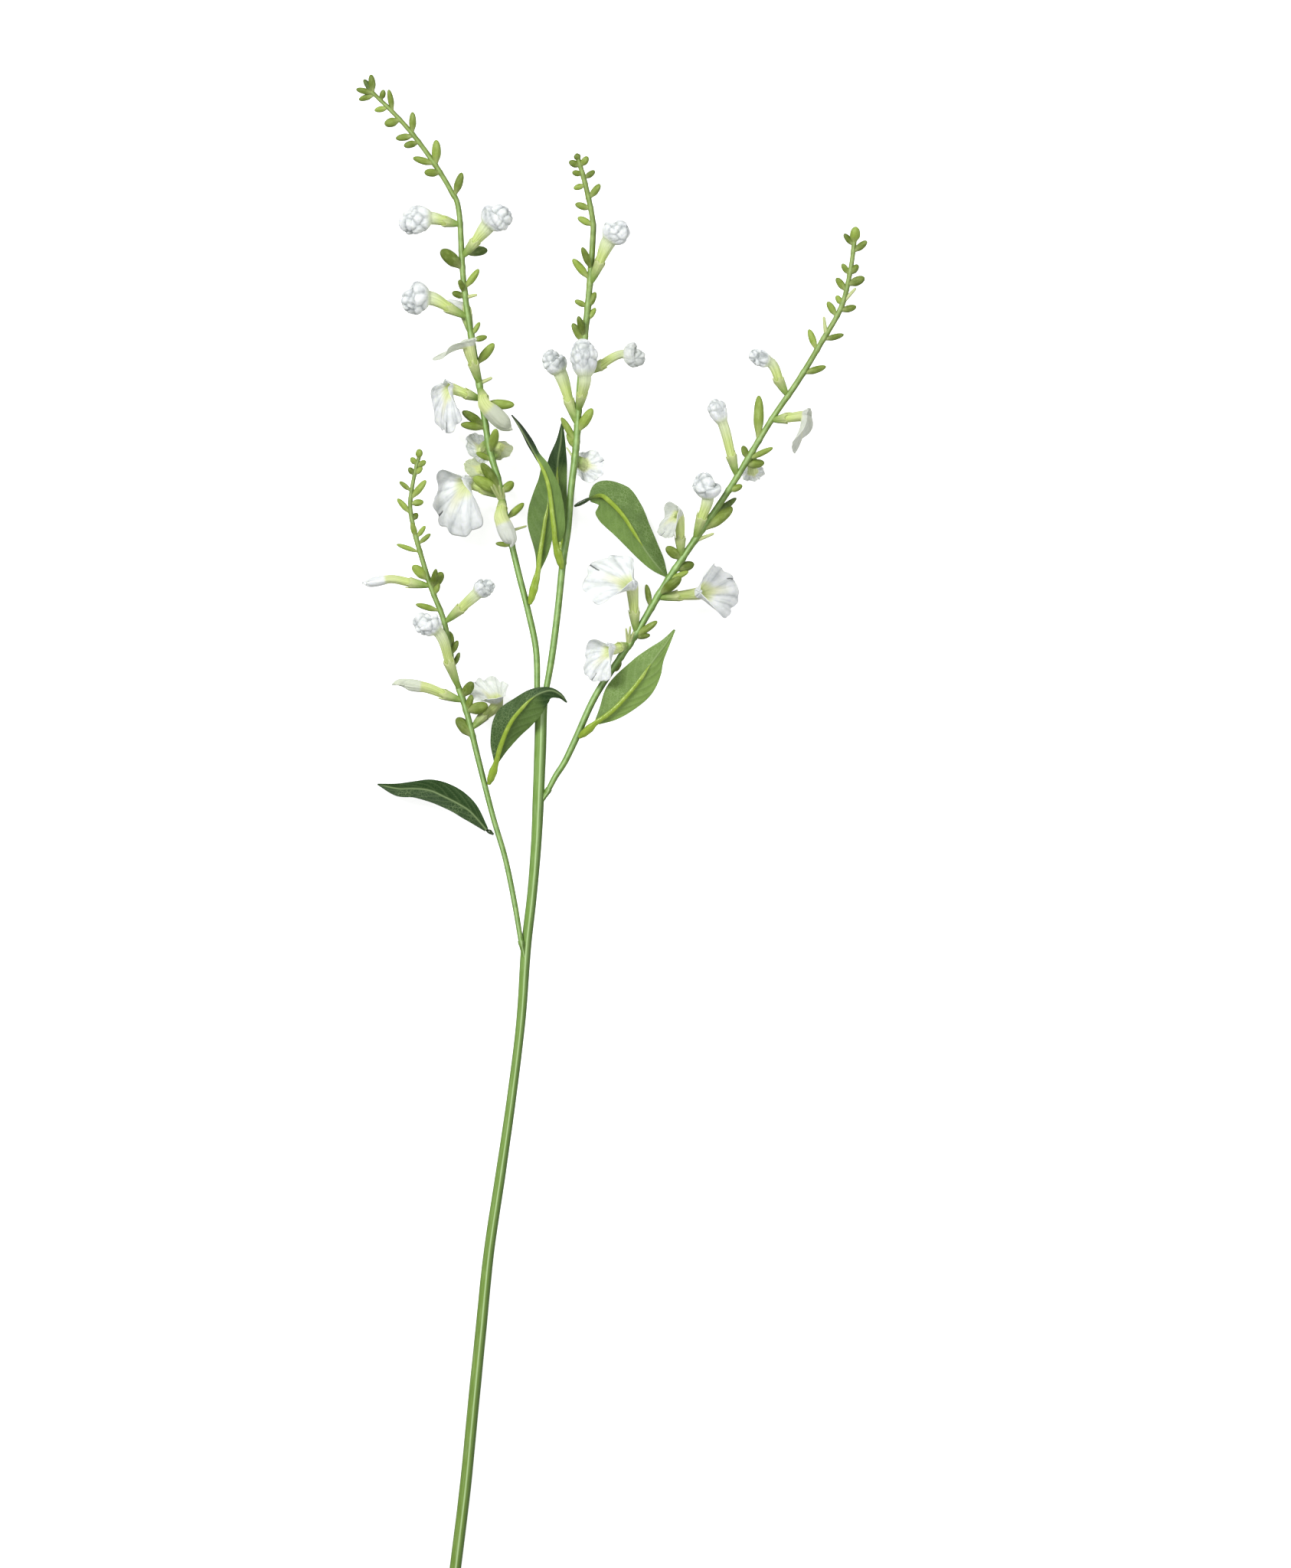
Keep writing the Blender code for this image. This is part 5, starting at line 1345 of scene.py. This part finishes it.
class LeafLook(bpy.types.PropertyGroup):
    """The leaves' sizes and colours."""

    blade_rows: count("Blade rows", 120, "Rows along a blade")
    blade_columns: count("Blade columns", 80, "Points round a blade's section")
    rib_rings: count("Rib rings", 110, "Rings along a rib")
    blade_thickness: length("Thickness", 0.00042, "Thickness of a blade at its midrib")
    quilting: length("Quilting", 0.00045, "How far the cloth swells between its veins")
    vein_height: length("Vein height", 0.0003, "How far veins stand out")
    dark: colour("Dark leaf", (44, 74, 30), "darkest leaves")
    light: colour("Light leaf", (140, 174, 84), "lightest leaves")
    # The shade colour serves dull patches and also the painted shade of the dark tips
    shade: colour("Shade", (26, 44, 22), "dull patches and painted shade")
    thread: colour("Thread", (156, 184, 128), "light threads")
    vein: colour("Vein", (176, 200, 140), "veins")
    rib: colour("Rib", (158, 186, 62), "moulded ribs")
    rib_dark: colour("Rib streaks", (122, 150, 42), "dark streaks on the ribs")
    rib_light: colour("Rib gloss", (200, 220, 112), "light patches on the ribs")
    # Painted shade on the dark petioles
    petiole_shade: colour("Dark petiole", (46, 66, 30), "petioles in painted shade")


class StageLook(bpy.types.PropertyGroup):
    """The floor, the lights and the camera."""

    distance: length("Camera distance", 1.8, "Height of the camera over the stem")
    floor: colour("Floor", 0.92, "floor where it is seen")
    bounce: colour("Bounce", 0.3, "floor for the light it throws back")
    glow: colour("Glow", 0.68, "light that the floor adds where it is seen")
    sky: number("Sky", 0.36, "Strength of the light all round", "NONE")
    key: number("Key", 28.0, "Power of the main light", "POWER")
    fill: number("Fill", 10.0, "Power of the second light", "POWER")


class LavenderLook(bpy.types.PropertyGroup):
    """All the sizes and colours of the lavender stem."""

    stem: group(StemLook, "Stem", "The main stem")
    spikes: group(SpikeLook, "Spikes", "Stalks, buds, calyxes")
    corollas: group(CorollaLook, "Corollas", "The corollas")
    leaves: group(LeafLook, "Leaves", "Blades and ribs")
    stage: group(StageLook, "Stage", "Floor, lights, camera")


class LAVENDER_OT_stem(bpy.types.Operator):
    """Make the main stem and its bosses"""

    bl_idname = "lavender.stem"
    bl_label = "Main stem"

    def execute(self, context):
        look = context.scene.lavender.stem
        build("stem", stem_shells(look), stem_material(look), "main_stem")
        return {"FINISHED"}


class LAVENDER_OT_spikes(bpy.types.Operator):
    """Make the four stalks with their buds and calyxes"""

    bl_idname = "lavender.spikes"
    bl_label = "Spikes"

    def execute(self, context):
        look = context.scene.lavender.spikes
        material = spike_material(look)
        for index, stalk in enumerate(STALKS):
            shells = spike_shells(stalk, index, look)
            build(stalk + "_detail", shells, material, stalk)
        return {"FINISHED"}


class LAVENDER_OT_corollas(bpy.types.Operator):
    """Make the white corollas"""

    bl_idname = "lavender.corollas"
    bl_label = "Corollas"

    def execute(self, context):
        look = context.scene.lavender.corollas
        material = petal_material(look)
        for index, stalk in enumerate(STALKS):
            path = stalk_path(stalk)
            for flower in FLOWERS[stalk]:
                rng = np.random.default_rng(SEEDS["corollas"] * (index + 1) + int(flower[0]))
                node = stalk.replace("spike", "corolla") + "_" + flower[0]
                tone = PETAL_TONES.get(node, (0.0, 0.0))
                shell, lips, seeds, finer = corolla_shell(path, flower, rng, look, tone)
                shells = [shell]
                if flower[-1] < BALL_BEND:
                    face = direction(*flower[4])
                    shells.append(tuft_shell(lips, face, seeds, finer, rng, tone))
                build(node + "_petals", shells, material, node)
        return {"FINISHED"}


class LAVENDER_OT_leaves(bpy.types.Operator):
    """Make the leaf blades and their ribs"""

    bl_idname = "lavender.leaves"
    bl_label = "Leaves"

    def execute(self, context):
        look = context.scene.lavender.leaves
        cloth, lime = leaf_material(look), rib_material(look)
        for index, (name, leaf) in enumerate(LEAVES.items()):
            rng = np.random.default_rng(SEEDS["leaves"] + index)
            *looks, dark = leaf["looks"]
            blade, rib = blade_shell(leaf, looks, rng, look), rib_shell(leaf, dark, look)
            build(name + "_cloth", [blade], cloth, name + "_blade")
            build(name + "_moulding", [rib], lime, name + "_rib")
        return {"FINISHED"}


class LAVENDER_OT_stage(bpy.types.Operator):
    """Make the floor, the lights and the camera"""

    bl_idname = "lavender.stage"
    bl_label = "Stage"

    def execute(self, context):
        look = context.scene.lavender.stage
        scene = context.scene
        scene.view_settings.view_transform = "Standard"
        x = (PHOTO_SIZE[0] / 2 - PHOTO_ORIGIN[0]) * PHOTO_SCALE * MM
        y = (PHOTO_ORIGIN[1] - PHOTO_SIZE[1] / 2) * PHOTO_SCALE * MM

        plane = bpy.data.meshes.new("floor")
        corners = [(-1, -1), (1, -1), (1, 1), (-1, 1)]
        points = [(FLOOR_REACH * a + x, FLOOR_REACH * b + y, FLOOR_HEIGHT) for a, b in corners]
        plane.from_pydata(points, [], [(0, 1, 2, 3)])
        plane.materials.append(floor_material(look))
        floor = bpy.data.objects.new("floor", plane)
        scene.collection.objects.link(floor)

        world = bpy.data.worlds.new("sky")
        world.use_nodes = True
        tree = world.node_tree
        sky = tree.nodes["Background"].inputs
        sky["Color"].default_value = (1, 1, 1, 1)
        seen = tree.nodes.new("ShaderNodeLightPath").outputs["Is Camera Ray"]
        tree.links.new(levels(tree, seen, 0, 1, look.sky, 1), sky["Strength"])
        scene.world = world

        for name, (size, place) in LIGHTS.items():
            light = bpy.data.lights.new(name, "AREA")
            light.energy, light.size = getattr(look, name), size
            lamp = bpy.data.objects.new(name, light)
            lamp.location = place
            aim = mathutils.Vector(LIGHT_AIM) - lamp.location
            lamp.rotation_euler = aim.to_track_quat("-Z", "Y").to_euler()
            scene.collection.objects.link(lamp)

        camera = bpy.data.cameras.new("camera")
        camera.lens = SENSOR * look.distance / (PHOTO_SIZE[1] * PHOTO_SCALE * MM)
        camera.sensor_width = SENSOR
        camera.clip_end = VIEW_END
        eye = bpy.data.objects.new("camera", camera)
        eye.location = (x, y, FOCUS_HEIGHT * MM + look.distance)
        scene.collection.objects.link(eye)
        scene.camera = eye
        return {"FINISHED"}


PARTS = {
    "stage": LAVENDER_OT_stage,
    "stem": LAVENDER_OT_stem,
    "spikes": LAVENDER_OT_spikes,
    "corollas": LAVENDER_OT_corollas,
    "leaves": LAVENDER_OT_leaves,
}


class LAVENDER_PT_panel(bpy.types.Panel):
    """Sizes, colours and buttons of the lavender stem"""

    bl_label = "Lavender stem"
    bl_idname = "LAVENDER_PT_panel"
    bl_space_type = "VIEW_3D"
    bl_region_type = "UI"
    bl_category = "Lavender stem"

    def draw(self, context):
        for name, operator in PARTS.items():
            look = getattr(context.scene.lavender, name)
            box = self.layout.box()
            for key in look.__annotations__:
                box.prop(look, key)
            box.operator(operator.bl_idname)


LOOKS = (StemLook, SpikeLook, CorollaLook, LeafLook, StageLook, LavenderLook)
CLASSES = (*LOOKS, *PARTS.values(), LAVENDER_PT_panel)


def register():
    """Registers the classes and the settings on the scene."""
    for kind in CLASSES:
        bpy.utils.register_class(kind)
    bpy.types.Scene.lavender = group(
        LavenderLook, "Lavender stem", "Sizes and colours of the lavender stem"
    )


def unregister():
    """Takes the settings and the classes away again."""
    del bpy.types.Scene.lavender
    for kind in reversed(CLASSES):
        bpy.utils.unregister_class(kind)


def main():
    """Makes every piece and the stage."""
    register()
    bpy.ops.lavender.stage()
    bpy.ops.lavender.stem()
    bpy.ops.lavender.spikes()
    bpy.ops.lavender.corollas()
    bpy.ops.lavender.leaves()


if __name__ == "__main__":
    main()
